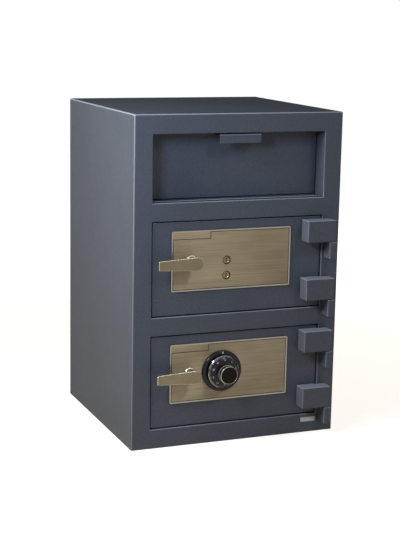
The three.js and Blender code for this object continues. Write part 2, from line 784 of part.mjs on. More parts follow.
// Handle: a flat lever on a round neck, drawn at rest with the lever pointing left.
function handle() {
  const plateFront = -facePlateThickness - seat;
  const leverBack = plateFront - handleStandOff;
  const tipX = -openingHalf + handleTipInset;
  const tipHalf = handleTipHeight / 2;
  const taper = Math.asin((handleHubRadius - tipHalf) / (handleX - tipX));
  const shape = new THREE.Shape();
  shape.absarc(handleX, handleZ, handleHubRadius, -Math.PI / 2 - taper, Math.PI / 2 + taper, false);
  shape.lineTo(tipX, handleZ + tipHalf);
  shape.lineTo(tipX, handleZ - tipHalf);
  shape.closePath();
  const lever = alongY(shape, leverBack - handleThickness, leverBack, handleRound, 12);
  const neck = rodAlongY(handleX, handleZ, leverBack - handleThickness / 2, plateFront - neckGap, neckRadius);
  const socket = rodAlongY(
    handleX, handleZ, leverBack - seat, plateFront, boreCorners(spindleRadius + hingePressGap));
  return cut(join(lever, neck), socket);
}

// Half the handle's travel lies on each side of the cam arm's straight-down position.
const camRadius = boltThrow / 2 / Math.sin(degrees(handleTravel / 2));
const camPinX = handleX + boltThrow / 2;
const camPinZ = handleZ - camRadius * Math.cos(degrees(handleTravel / 2));
const carriageFrontY = boltY - carriageThickness / 2;
const camFrontY = boltY + carriageThickness / 2 + carriageGap;

function handleSpindle() {
  const leverBack = -facePlateThickness - seat - handleStandOff;
  const camBackY = camFrontY + camThickness;
  const shaft = rodAlongY(handleX, handleZ, leverBack, camBackY, spindleRadius);
  const hub = rodAlongY(handleX, handleZ, camFrontY, camBackY, camHubRadius);
  const arm = alongY(
    rectangle(-camArmHalfWidth, -camRadius, camArmHalfWidth, 0), camFrontY, camBackY)
    .rotateY(-degrees(handleTravel / 2)).translate(handleX, 0, handleZ);
  const armEnd = rodAlongY(camPinX, camPinZ, camFrontY, camBackY, camArmHalfWidth);
  const pin = rodAlongY(camPinX, camPinZ, carriageFrontY, camBackY, camPinRadius);
  return join(shaft, hub, arm, armEnd, pin);
}

// Bolt carriage: a bar that carries the two live bolts, a web with slots for the spindle and the cam pin,
// and an arm over the lock with a tab that the lock bolt holds on either side.
function boltCarriage(lock) {
  const barLeft = -openingHalf + carriageBarInset;
  const barRight = barLeft + carriageBarWidth;
  const slotHalf = spindleRadius + slotGap;
  const webRight = handleX + boltThrow + slotHalf + webWall;
  const pinSlotHalf = camPinRadius + camPinGap;
  const pinSlotBottom = handleZ - camRadius - camPinRadius - camPinEndGap;
  const pinSlotTop = camPinZ + camPinRadius + camPinEndGap;
  const webTop = handleZ + webAbove;
  const webBottom = pinSlotBottom - webWall;
  const tabLeft = lock.x + lockBoltWidth / 2 + tabGap;
  const tabRight = lock.x + boltThrow - lockBoltWidth / 2 - tabGap;
  const tabBottom = lockCaseTop + tabLift;
  const armBottom = lockCaseTop + lockBoltProud + lockBoltThrow + lockBoltTipGap;
  const armTop = armBottom + tabArm;
  const shape = polygon([
    [barLeft, -carriageBarHalf], [barRight, -carriageBarHalf],
    [barRight, webBottom], [webRight, webBottom],
    [webRight, webTop], [barRight, webTop], [barRight, armBottom], [tabLeft, armBottom],
    [tabLeft, tabBottom], [tabRight, tabBottom], [tabRight, armTop], [barRight, armTop],
    [barRight, carriageBarHalf], [barLeft, carriageBarHalf],
  ]);
  shape.holes.push(
    rectangleHole(handleX - slotHalf, handleZ - slotHalf, handleX + boltThrow + slotHalf, handleZ + slotHalf),
    rectangleHole(camPinX - pinSlotHalf, pinSlotBottom, camPinX + pinSlotHalf, pinSlotTop));
  const plate = alongY(shape, carriageFrontY, carriageFrontY + carriageThickness);
  const bolts = [-boltRise, boltRise].map((z) => rodAlongX(
    boltY, z, -openingHalf + boltTipInset, barLeft + boltEmbed, boltRadius));
  return join(plate, ...bolts);
}

// Locks

// The case is a block with a channel in its top for the lock bolt.
function lockBody(lock) {
  const front = doorThickness + seat;
  const half = lockCaseWidth / 2;
  const body = alongY(
    rectangle(lock.x - half, -lockCaseBottom, lock.x + half, lockCaseTop), front, front + lockCaseDepth,
    lockCaseRound);
  const channelHalfX = lockBoltWidth / 2 + lockBoltGap;
  const channelHalfY = lockBoltThickness / 2 + lockBoltGap;
  const channel = box(
    lock.x - channelHalfX, boltY - channelHalfY, lockCaseTop - lockBoltLength - seat,
    lock.x + channelHalfX, boltY + channelHalfY, lockCaseTop + seat);
  return cut(body, channel);
}

function lockBolt(lock) {
  const half = lockBoltWidth / 2;
  const halfY = lockBoltThickness / 2;
  return box(
    lock.x - half, boltY - halfY, lockCaseTop + lockBoltProud - lockBoltLength,
    lock.x + half, boltY + halfY, lockCaseTop + lockBoltProud);
}

const keyZs = [-keyLockDrop + keySpacing / 2, -keyLockDrop - keySpacing / 2];
const noseFrontY = -facePlateThickness - seat + noseRecess;

// Key lock case: two noses reach out through the door, each bored for its plug.
function keyLockCase(lock) {
  const noses = keyZs.map((z) => rodAlongY(
    lock.x, z, noseFrontY, doorThickness + seat + joinOverlap, noseRadius));
  const bores = keyZs.map((z) => rodAlongY(
    lock.x, z, noseFrontY - seat, noseFrontY + plugLength + plugEndGap, boreCorners(plugRadius + plugGap)));
  return cut(join(lockBody(lock), ...noses), ...bores);
}

function keyPlug(lock, z) {
  const plug = rodAlongY(lock.x, z, noseFrontY + seat, noseFrontY + plugLength, plugRadius);
  const keyway = box(
    lock.x - keywayWidth / 2, noseFrontY, z - keywayHeight / 2,
    lock.x + keywayWidth / 2, noseFrontY + keywayDepth, z + keywayHeight / 2);
  return cut(plug, keyway);
}

// Combination lock case: a bore for the dial's spindle and a pocket at the rear for its drive cam.
const camPocketDepth = driveCamThickness + camPocketEndGap;
const caseRearY = doorThickness + seat + lockCaseDepth;

function combinationLockCase(lock) {
  const bore = rodAlongY(
    lock.x, handleZ, doorThickness, caseRearY + seat, boreCorners(dialSpindleRadius + spindleGap));
  const pocket = rodAlongY(
    lock.x, handleZ, caseRearY - camPocketDepth, caseRearY + seat, driveCamRadius + camPocketGap);
  return cut(lockBody(lock), bore, pocket);
}

const ringBackY = -facePlateThickness - seat * 2;
const ringFrontY = ringBackY - dialRingThickness;
const dialBackY = ringFrontY - dialGap;
const dialRimY = dialBackY - dialRimDepth;

function dialRing(lock) {
  return turnedAlongY([
    [dialRingBore, ringBackY], [dialRingBore, ringFrontY], [dialRingRadius - dialRingBevel, ringFrontY],
    [dialRingRadius, ringFrontY + dialRingBevel], [dialRingRadius, ringBackY], [dialRingBore, ringBackY],
  ], lock.x, handleZ, 2 * roundSides);
}

// The dial's cone climbs from its rim to the knob, which flares out again at its front.
function combinationDial(lock) {
  const coneY = dialRimY - dialConeRise;
  const knobY = dialRimY - dialConeRise - knobHeight;
  const socketRadius = boreCorners(dialSpindleRadius + hingePressGap);
  return turnedAlongY([
    [0, knobY], [knobRadius - dialRound, knobY],
    [knobRadius, knobY + dialRound], [knobRadius, knobY + knobRim],
    [knobWaistRadius, knobY + knobRim * 2], [knobWaistRadius, coneY - knobRim], [knobBaseRadius, coneY],
    [dialRadius - dialRound, dialRimY], [dialRadius, dialRimY + dialRound],
    [dialRadius, dialBackY - dialRound], [dialRadius - dialRound, dialBackY], [socketRadius, dialBackY],
    [socketRadius, dialBackY - dialSocketDepth], [0, dialBackY - dialSocketDepth],
  ], lock.x, handleZ, 2 * roundSides);
}

function dialSpindle(lock) {
  const camBackY = caseRearY - seat;
  const shaft = rodAlongY(lock.x, handleZ, dialBackY - dialSocketDepth + seat, camBackY, dialSpindleRadius);
  const driveCam = rodAlongY(lock.x, handleZ, camBackY - driveCamThickness, camBackY, driveCamRadius);
  return join(shaft, driveCam);
}

const keyLockX = handleX + keyLockOffset;
const keyLock = {
  x: keyLockX,
  holes: keyZs.map((z) => [keyLockX, z, noseRadius + noseHoleGap]),
  makeCase: keyLockCase,
};

const dialX = handleX + dialOffset;
const combinationLock = {
  x: dialX,
  holes: [[dialX, handleZ, dialSpindleRadius + spindleGap]],
  makeCase: combinationLockCase,
};

// Assembly

addBody(safe);
addHopperHousing(safe);
addHopper(safe);

const doors = [
  ['upper', upperOpeningZ, keyLock],
  ['lower', lowerOpeningZ, combinationLock],
];
for (const [door, openingZ, lock] of doors) {
  const centreZ = openingZ + doorHalfOpening;
  const hinges = new THREE.Group();
  hinges.position.set(0, frontY, centreZ);
  addHinges(hinges, door);
  const group = new THREE.Group();
  group.position.set(0, doorFrontY, centreZ);
  addDoor(group, door, lock);
  if (lock === keyLock) {
    addPiece(group, 'guard_key_plug', keyPlug(lock, keyZs[0]), brass);
    addPiece(group, 'customer_key_plug', keyPlug(lock, keyZs[1]), brass);
  } else {
    addPiece(group, 'dial_ring', dialRing(lock), blackDial);
    addPiece(group, 'combination_dial', combinationDial(lock), blackDial);
    addPiece(group, 'dial_spindle', dialSpindle(lock), steel);
  }
  safe.add(hinges, group);
}

export default safe;
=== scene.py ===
# Drop safe with a tilting deposit hopper: the painted body, plates, levers, dial and bolt work over the fixed
# frame. Metres, +Z up, the front towards -Y. Sizes in the dictionaries are millimetres.
import json
import math

import bmesh
import bpy
from mathutils import Matrix, Vector


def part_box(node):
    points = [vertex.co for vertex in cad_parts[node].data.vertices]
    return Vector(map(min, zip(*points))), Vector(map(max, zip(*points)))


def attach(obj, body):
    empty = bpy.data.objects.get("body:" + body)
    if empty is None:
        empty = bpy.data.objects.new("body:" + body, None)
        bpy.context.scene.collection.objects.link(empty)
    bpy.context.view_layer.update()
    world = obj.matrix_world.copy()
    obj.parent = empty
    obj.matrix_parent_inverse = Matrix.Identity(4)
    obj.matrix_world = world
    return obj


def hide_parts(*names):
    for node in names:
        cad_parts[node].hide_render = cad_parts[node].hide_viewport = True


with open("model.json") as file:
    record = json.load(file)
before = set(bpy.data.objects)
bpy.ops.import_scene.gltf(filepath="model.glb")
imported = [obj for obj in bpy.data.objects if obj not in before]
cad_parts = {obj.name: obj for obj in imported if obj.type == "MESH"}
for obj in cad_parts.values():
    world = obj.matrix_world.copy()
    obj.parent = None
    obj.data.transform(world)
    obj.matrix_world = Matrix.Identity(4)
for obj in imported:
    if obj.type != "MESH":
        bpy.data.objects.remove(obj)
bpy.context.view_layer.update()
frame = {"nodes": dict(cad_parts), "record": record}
mm = 0.001
doors = ("upper", "lower")
frameThickness = 12.7 * mm
openingX = 210 * mm
smoothSides = 64
sharpAngle = math.radians(38)
nearly = 1e-5
print("frame loaded:", len(frame["nodes"]), "nodes")


# Small helpers

def linear(hexColour):
    channels = [int(hexColour[i:i + 2], 16) / 255 for i in (1, 3, 5)]
    return (*[c / 12.92 if c <= 0.04045 else ((c + 0.055) / 1.055) ** 2.4 for c in channels], 1.0)


def feed(tree, node, sockets):
    # Sets or links a node's inputs. A node given as a value stands for its first output.
    for key, value in sockets.items():
        if isinstance(value, bpy.types.Node):
            value = value.outputs[0]
        if isinstance(value, bpy.types.NodeSocket):
            tree.links.new(value, node.inputs[key])
        else:
            node.inputs[key].default_value = value


def addNode(tree, kind, sockets=None, **settings):
    node = tree.nodes.new(kind if "Node" in kind else "ShaderNode" + kind)
    for key, value in settings.items():
        setattr(node, key, value)
    feed(tree, node, sockets or {})
    return node


def span(fromLow, fromHigh, toLow=0.0, toHigh=1.0):
    return {"From Min": fromLow, "From Max": fromHigh, "To Min": toLow, "To Max": toHigh}


def blendColours(tree, factor, low, high):
    # Each colour is a hex value, a socket or a node.
    ends = [linear(colour) if isinstance(colour, str) else colour for colour in (low, high)]
    return addNode(tree, "Mix", {"Factor": factor, 6: ends[0], 7: ends[1]}, data_type="RGBA").outputs[2]


def circle(u, v, radius, count):
    angles = [2 * math.pi * i / count for i in range(count)]
    return [(u + radius * math.cos(angle), v + radius * math.sin(angle)) for angle in angles]


def roundRect(u0, v0, u1, v1, corner, steps=6):
    points = []
    for cu, cv, start in ((u1 - corner, v0 + corner, -90), (u1 - corner, v1 - corner, 0),
                          (u0 + corner, v1 - corner, 90), (u0 + corner, v0 + corner, 180)):
        for i in range(steps + 1):
            angle = math.radians(start + 90 * i / steps)
            points.append((cu + corner * math.cos(angle), cv + corner * math.sin(angle)))
    return points


def stitch(bm, near, far):
    faces = []
    for i in range(len(near)):
        j = (i + 1) % len(near)
        faces.append(bm.faces.new((near[i], near[j], far[j], far[i])))
    return faces


def fillBetween(bm, *rings):
    # Fills the flat space between an outline and its holes.
    pairs = [(a, b) for ring in rings for a, b in zip(ring, ring[1:] + ring[:1])]
    edges = [bm.edges.get(pair) or bm.edges.new(pair) for pair in pairs]
    filled = bmesh.ops.triangle_fill(bm, use_beauty=True, edges=edges)["geom"]
    return [face for face in filled if isinstance(face, bmesh.types.BMFace)]


spreads = {
    "x": lambda u, v, w: (w, u, v),
    "y": lambda u, v, w: (u, w, v),
    "z": lambda u, v, w: (u, v, w),
}


def prism(bm, profile, axis, low, high, holes=(), finish=0):
    # A profile pushed along one axis; round holes and windows go right through it.
    spread = spreads[axis]
    levels = [[[bm.verts.new(spread(u, v, w)) for u, v in loop] for loop in (profile, *holes)]
              for w in (low, high)]
    made = []
    for level in levels:
        made += fillBetween(bm, *level) if holes else [bm.faces.new(level[0])]
    for near, far in zip(*levels):
        made += stitch(bm, near, far)
    for face in made:
        face.material_index = finish


def block(bm, low, high):
    corners = [(low[0], low[2]), (high[0], low[2]), (high[0], high[2]), (low[0], high[2])]
    prism(bm, corners, "y", low[1], high[1])


def turned(bm, profile, centre, sides, closed=False, finish=0, wave=None):
    # A profile in millimetres, (radius, distance along Y), turned about a line along Y; wave changes the
    # radius with the angle.
    x, z = centre
    rings = []
    for radius, along in profile:
        if not radius:
            rings.append([bm.verts.new((x, along * mm, z))])
            continue
        ring = []
        for i in range(sides):
            angle = 2 * math.pi * i / sides
            r = radius * mm * (wave(angle) if wave else 1)
            ring.append(bm.verts.new((x + r * math.cos(angle), along * mm, z + r * math.sin(angle))))
        rings.append(ring)
    for a, b in zip(rings, rings[1:] + (rings[:1] if closed else [])):
        for i in range(sides):
            j = (i + 1) % sides
            corners = [a[i % len(a)], a[j % len(a)], b[j % len(b)], b[i % len(b)]]
            corners = [c for n, c in enumerate(corners) if c not in corners[:n]]
            bm.faces.new(corners).material_index = finish


def roundedSlab(bm, outline, windows, frontY, backY, roundSteps=5):
    # A slab across Y whose front edges are rounded: outline and each window is (shape, radius), where shape
    # gives the loop at a distance in from the edge.
    slab = []
    for shape, radius in [outline, *windows]:
        rings = [[bm.verts.new((x, backY, z)) for x, z in shape(0)]]
        for i in range(roundSteps + 1 if radius else 1):
            angle = math.pi / 2 * i / roundSteps
            y = frontY + radius * (1 - math.sin(angle))
            rings.append([bm.verts.new((x, y, z)) for x, z in shape(radius * (1 - math.cos(angle)))])
        for near, far in zip(rings, rings[1:]):
            stitch(bm, near, far)
        slab.append(rings)
    for end in (0, -1):
        fillBetween(bm, *[rings[end] for rings in slab])


def rectangle(x0, z0, x1, z1):
    # The loop of a rectangle, drawn in by a distance; a negative one widens it.
    return lambda d: [(x0 + d, z0 + d), (x1 - d, z0 + d), (x1 - d, z1 - d), (x0 + d, z1 - d)]


def widened(shape):
    return lambda d: shape(-d)


def disc(x, z, radius, sides=48):
    return lambda d: circle(x, z, radius + d, sides)


def addObject(name, data):
    made = bpy.data.objects.new(name, data)
    bpy.context.scene.collection.objects.link(made)
    return made


def solidObject(name, bm):
    # Makes an object of an edited mesh, with its faces outwards.
    bmesh.ops.recalc_face_normals(bm, faces=bm.faces)
    mesh = bpy.data.meshes.new(name)
    bm.to_mesh(mesh)
    bm.free()
    return addObject(name, mesh)


def plainMesh(item):
    # The mesh that an object's modifiers or text settings give.
    bpy.context.view_layer.update()
    return bpy.data.meshes.new_from_object(item.evaluated_get(bpy.context.evaluated_depsgraph_get()))


def settle(piece):
    # Turns a piece's modifiers into plain mesh.
    mesh = plainMesh(piece)
    piece.modifiers.clear()
    piece.data = mesh


def smooth(piece):
    piece.data.shade_smooth()
    piece.data.set_sharp_from_angle(angle=sharpAngle)


def makePiece(name, bm, body, finishes, replaced=(), bevel=0, steps=3, weighted=False, angle=40):
    # Makes a visible piece of an edited mesh; bevel is the edges' rounding in millimetres.
    piece = solidObject(name, bm)
    for finish in finishes:
        piece.data.materials.append(finish)
    if bevel:
        edges = piece.modifiers.new("edges", "BEVEL")
        edges.width = bevel * mm
        edges.segments = steps
        edges.limit_method = "WEIGHT" if weighted else "ANGLE"
        edges.angle_limit = math.radians(angle)
        settle(piece)
    smooth(piece)
    even = piece.modifiers.new("even", "WEIGHTED_NORMAL")
    even.keep_sharp = True
    settle(piece)
    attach(piece, body)
    if replaced:
        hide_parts(*replaced)
    return piece


def refine(node, body, slotName, bevel, steps=2, mergeWithin=0.02, flatWithin=0.5):
    # A finer copy of a CAD node, with merged points, whole faces and rounded edges.
    bm = bmesh.new()
    bm.from_mesh(frame["nodes"][node].data)
    bmesh.ops.remove_doubles(bm, verts=bm.verts, dist=mergeWithin * mm)
    bmesh.ops.dissolve_limit(bm, angle_limit=math.radians(flatWithin), verts=bm.verts, edges=bm.edges)
    makePiece(node + "_fine", bm, body, [slotFinishes[slotName]], [node], bevel, steps, angle=50)


socketKinds = {int: "Int", float: "Float", tuple: "Vector"}


def makeTree(name, values):
    # Starts a Geometry Nodes tree with a named input for each value.
    tree = bpy.data.node_groups.new(name, "GeometryNodeTree")
    tree.interface.new_socket("Geometry", in_out="INPUT", socket_type="NodeSocketGeometry")
    for label, value in values.items():
        kind = socketKinds.get(type(value), "Material")
        socket = tree.interface.new_socket(label, in_out="INPUT", socket_type="NodeSocket" + kind)
        if kind in ("Int", "Float"):
            socket.default_value = value
    tree.interface.new_socket("Geometry", in_out="OUTPUT", socket_type="NodeSocketGeometry")
    return tree, addNode(tree, "NodeGroupInput").outputs


def endTree(tree, geometry, inputs):
    whole = addNode(tree, "GeometryNodeRealizeInstances", {"Geometry": geometry})
    painted = addNode(tree, "GeometryNodeSetMaterial", {"Geometry": whole, "Material": inputs["Material"]})
    addNode(tree, "NodeGroupOutput", {"Geometry": painted})


def grow(name, tree, points, edges, values, body):
    # Runs a node tree on a bare mesh of points and edges and keeps the plain mesh that it gives.
    mesh = bpy.data.meshes.new(name)
    mesh.from_pydata(points, edges, [])
    piece = addObject(name, mesh)
    grown = piece.modifiers.new("grown", "NODES")
    grown.node_group = tree
    for item in tree.interface.items_tree:
        if item.in_out == "INPUT" and item.name in values:
            grown[item.identifier] = values[item.name]
    settle(piece)
    smooth(piece)
    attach(piece, body)


# Materials

def startMaterial(name, **surface):
    material = bpy.data.materials.new(name)
    material.use_nodes = True
    tree = material.node_tree
    shader = tree.nodes["Principled BSDF"]
    feed(tree, shader, {key.replace("_", " "): value for key, value in surface.items()})
    return material, tree, shader, addNode(tree, "TexCoord").outputs["Object"]


def powderCoat(name, topHighlight=0.0, leftHighlight=0.0):
    # Satin powder coat on steel, sprayed and baked: an even blue-grey with faint orange peel that dulls it at
    # a low angle. The upper and left edges, and on the hinges whole upper faces, carry a painted highlight:
    # a paler colour where the light falls from above and the left.
    material, tree, shader, place = startMaterial(name, Roughness=0.5)
    clouds = addNode(tree, "TexNoise", {"Vector": place, "Scale": 6.0, "Detail": 3.0, "Roughness": 0.55})
    tint = blendColours(tree, clouds, "#484e56", "#525860")
    speck = addNode(tree, "TexNoise", {"Vector": place, "Scale": 230.0, "Detail": 3.0, "Roughness": 0.7})
    grains = addNode(tree, "MapRange", {"Value": speck, **span(0.3, 0.7, 0.86, 1.14)})
    mottled = addNode(tree, "VectorMath", {0: tint, "Scale": grains}, operation="SCALE")
    # How far a face leans up or left, and how far it turns away from the nearest axis, full on rounded edges.
    facing = addNode(tree, "TexCoord").outputs["Normal"]
    lean = addNode(tree, "VectorMath", {0: facing, 1: (-0.5, 0.0, 1.0)}, operation="DOT_PRODUCT")
    lean = lean.outputs["Value"]
    # Painted highlight: faces that turn up and left, towards the light, get the pale colour.
    facingLight = addNode(tree, "MapRange", {"Value": lean, **span(0.0, 0.6)})
    across = addNode(tree, "VectorMath", {0: facing}, operation="ABSOLUTE")
    parts = addNode(tree, "SeparateXYZ", {0: across}).outputs
    most = addNode(tree, "Math", {0: parts[0], 1: parts[1]}, operation="MAXIMUM")
    most = addNode(tree, "Math", {0: most, 1: parts[2]}, operation="MAXIMUM")
    edge = addNode(tree, "MapRange", {"Value": most, **span(0.995, 0.9)})
    edgeHighlight = addNode(tree, "Math", {0: edge, 1: facingLight}, operation="MULTIPLY")
    faces = addNode(tree, "MapRange", {"Value": lean, **span(0.45, 1.0, leftHighlight, topHighlight)})
    leaning = addNode(tree, "Math", {0: lean, 1: 0.4}, operation="GREATER_THAN")
    faceHighlight = addNode(tree, "Math", {0: faces, 1: leaning}, operation="MULTIPLY")
    share = addNode(tree, "Math", {0: edgeHighlight, 1: faceHighlight}, operation="MAXIMUM")
    low = addNode(tree, "LayerWeight", {"Blend": 0.5}).outputs["Facing"]
    peel = addNode(tree, "TexNoise", {"Vector": place, "Scale": 420.0, "Detail": 2.0})  # 2.4 mm cells
    feed(tree, shader, {
        # The pale #9199a4 is painted highlight on the edges and faces that face the light.
        "Base Color": blendColours(tree, share, mottled, "#9199a4"),
        "Specular IOR Level": addNode(tree, "MapRange", {"Value": low, **span(0.45, 0.78, 0.25, 0.0)}),
        "Normal": addNode(tree, "Bump", {"Height": peel, "Strength": 0.2, "Distance": 0.3 * mm})})
    return material


def brushedAlloy():
    # Nickel-brass sheet brushed along its length: fine straight grain that draws each reflection out across
    # it, with broad clouds of tarnish. The grain is 2 mm apart, coarser than on a real plate.
    material, tree, shader, place = startMaterial(
        "brushedAlloy", Metallic=1.0, Anisotropic=1.0, Anisotropic_Rotation=0.25)
    grain = addNode(tree, "Mapping", {"Vector": place, "Scale": (7.0, 1.0, 520.0)})
    lines = addNode(tree, "TexNoise", {"Vector": grain, "Scale": 1.0, "Detail": 5.0, "Roughness": 0.7})
    broad = addNode(tree, "Mapping", {"Vector": place, "Scale": (6.0, 1.0, 12.0)})
    clouds = addNode(tree, "TexNoise", {"Vector": broad, "Scale": 1.0, "Detail": 2.0})
    tarnish = addNode(tree, "MapRange", {"Value": clouds, **span(0.35, 0.65)})
    tint = blendColours(tree, tarnish, "#706552", "#7f7562")
    streak = addNode(tree, "MapRange", {"Value": lines, **span(0.3, 0.7, 0.76, 1.24)})
    feed(tree, shader, {
        "Base Color": addNode(tree, "VectorMath", {0: tint, "Scale": streak}, operation="SCALE"),
        "Roughness": addNode(tree, "MapRange", {"Value": lines, **span(0.3, 0.7, 0.36, 0.44)}),
        "Normal": addNode(tree, "Bump", {"Height": lines, "Strength": 0.5, "Distance": 0.08 * mm}),
        "Tangent": addNode(tree, "Tangent", direction_type="UV_MAP", uv_map="grain")})
    return material


def polishedNickel():
    # Cast and nickel plated: the broad front dulled by handling, the edges and sides polished bright.
    material, tree, shader, place = startMaterial("polishedNickel", Metallic=1.0)
    facing = addNode(tree, "TexCoord").outputs["Normal"]
    front = addNode(tree, "VectorMath", {0: facing, 1: (0.0, -1.0, 0.0)}, operation="DOT_PRODUCT")
    bare = addNode(tree, "MapRange", {"Value": front.outputs["Value"], **span(0.98, 0.8)})
    smudge = addNode(tree, "TexNoise", {"Vector": place, "Scale": 14.0, "Detail": 4.0, "Roughness": 0.6})
    dull = blendColours(tree, smudge, "#544c3a", "#857b67")
    feed(tree, shader, {
        "Base Color": blendColours(tree, bare, dull, "#c3bba9"),
        "Roughness": addNode(tree, "MapRange", {"Value": smudge, **span(0.3, 0.7, 0.18, 0.32)})})
    return material


def zincPlate():
    # Zinc plated pressed steel: pale grey with a soft crystal mottle.
    material, tree, shader, place = startMaterial("zincPlate", Metallic=1.0)
    spangle = addNode(tree, "TexVoronoi", {"Vector": place, "Scale": 90.0}, feature="F1")
    feed(tree, shader, {
        "Base Color": blendColours(tree, spangle, "#9da0a3", "#b2b5b7"),
        "Roughness": addNode(tree, "MapRange", {"Value": spangle, **span(0.0, 1.0, 0.36, 0.5)})})
    return material


def glossEnamel():
    # Black baked enamel on the dial: a soft gloss with faint dust, and slow ripples that break up what it
    # reflects.
    material, tree, shader, place = startMaterial("glossEnamel", Specular_IOR_Level=0.24)
    dust = addNode(tree, "TexNoise", {"Vector": place, "Scale": 420.0, "Detail": 4.0})
    ripple = addNode(tree, "TexNoise", {"Vector": place, "Scale": 130.0, "Detail": 1.0})
    feed(tree, shader, {
        "Base Color": blendColours(tree, dust, "#08080b", "#111216"),
        "Roughness": addNode(tree, "MapRange", {"Value": dust, **span(0.35, 0.7, 0.2, 0.32)}),
        "Normal": addNode(tree, "Bump", {"Height": ripple, "Strength": 0.35, "Distance": 0.4 * mm})})
    return material


def unevenFinish(name, tones, noise, bump=None, **surface):
    # A finish that wanders between two tones; bump is the strength and height at which the same noise
    # stands out.
    material, tree, shader, place = startMaterial(name, **surface)
    grain = addNode(tree, "TexNoise", {"Vector": place, **noise})
    feed(tree, shader, {"Base Color": blendColours(tree, grain, *tones)})
    if bump:
        raised = addNode(tree, "Bump", {"Height": grain, "Strength": bump[0], "Distance": bump[1] * mm})
        feed(tree, shader, {"Normal": raised})
    return material


paint = powderCoat("powderCoat")
# The hinges' coat: painted highlight over their upper faces and a little on their left faces.
hingePaintHighlighted = powderCoat("powderCoatPaintedHighlight", topHighlight=0.6, leftHighlight=0.1)
plateField = brushedAlloy()
nickel = polishedNickel()
zinc = zincPlate()
enamel = glossEnamel()
# The plate's raised border, buffed smoother and paler than the field.
plateBorder = unevenFinish("satinBorder", ("#86837b", "#9b968c"), {"Scale": 160.0, "Detail": 3.0},
                           (0.08, 0.05), Metallic=1.0, Roughness=0.38)
# Dark enamel wiped into the engraved line: dull, slightly uneven.
plateInk = unevenFinish("engravedInk", ("#1d1914", "#2e2820"), {"Scale": 240.0, "Detail": 2.0}, Roughness=0.7)
# Bright mild steel, ground and lightly oiled: fine scratches with no one direction.
steel = unevenFinish("groundSteel", ("#83868b", "#9a9da2"),
                     {"Scale": 900.0, "Detail": 4.0, "Distortion": 1.5}, (0.1, 0.05),
                     Metallic=1.0, Roughness=0.34)
# Machined brass, clouded by slight tarnish.
brass = unevenFinish("turnedBrass", ("#6d6044", "#8f8160"), {"Scale": 300.0, "Detail": 3.0},
                     Metallic=1.0, Roughness=0.3)
# Moulded phenolic knob: brown-black and close to matt from handling.
phenolic = unevenFinish("mouldedPhenolic", ("#0d0a08", "#1c1611"), {"Scale": 260.0, "Detail": 4.0},
                        Roughness=0.35, Specular_IOR_Level=0.08)
# White paint filled into the dial's engraved marks.
whiteInk = unevenFinish("dialInk", ("#a9adb2", "#c4c7ca"), {"Scale": 700.0, "Detail": 2.0}, Roughness=0.5)
# Thin chromed rings on the dial and knob, a little worn.
chrome = unevenFinish("brightTrim", ("#8e8b81", "#b3afa3"), {"Scale": 200.0, "Detail": 3.0},
                      Metallic=1.0, Roughness=0.14)
# Bare pale vinyl sticker with a soft sheen.
vinyl = unevenFinish("labelVinyl", ("#c4c5c9", "#d6d6d9"), {"Scale": 120.0, "Detail": 3.0}, Roughness=0.4)
# Natural moulded nylon bush, slightly waxy.
nylon = unevenFinish("mouldedNylon", ("#cfcbbe", "#dfdbd0"), {"Scale": 200.0, "Detail": 2.0},
                     Roughness=0.5, Subsurface_Weight=0.1)

slotFinishes = {"body_paint": paint, "face_plate": plateField, "nickel": nickel, "steel": steel, "zinc": zinc,
                "brass": brass, "dial_black": enamel, "nylon": nylon}
slotOf = {entry["node"]: entry["material_slot"] for entry in frame["record"]["subparts"]}
for nodeName, node in frame["nodes"].items():
    node.data.materials.clear()
    node.data.materials.append(slotFinishes[slotOf[nodeName]])
print("materials made")


# Body shell: sides, top, bottom and an inset back, welded and ground flush under one coat of paint

shell = {"cornerRound": 4, "cornerBand": 5, "rearRound": 1.5, "anchorRadius": 7, "anchorX": 164,
         "anchorY": 154, "anchorSides": 32, "drillPast": 5, "sideBand": 0.1, "foldLeast": 0.5,
         "shelfEdge": 0.8}


def loopAt(bm, points, y):
    return [bm.verts.new((x, y, z)) for x, z in points]


def outerOutline(half, top, corner, bottom=0.0, steps=6):
    points = [(-half, bottom), (half, bottom)]
    for cx, start in ((half - corner, 0), (corner - half, 90)):
        for i in range(steps + 1):
            angle = math.radians(start + 90 * i / steps)
            points.append((cx + corner * math.cos(angle), top - corner + corner * math.sin(angle)))
    return points


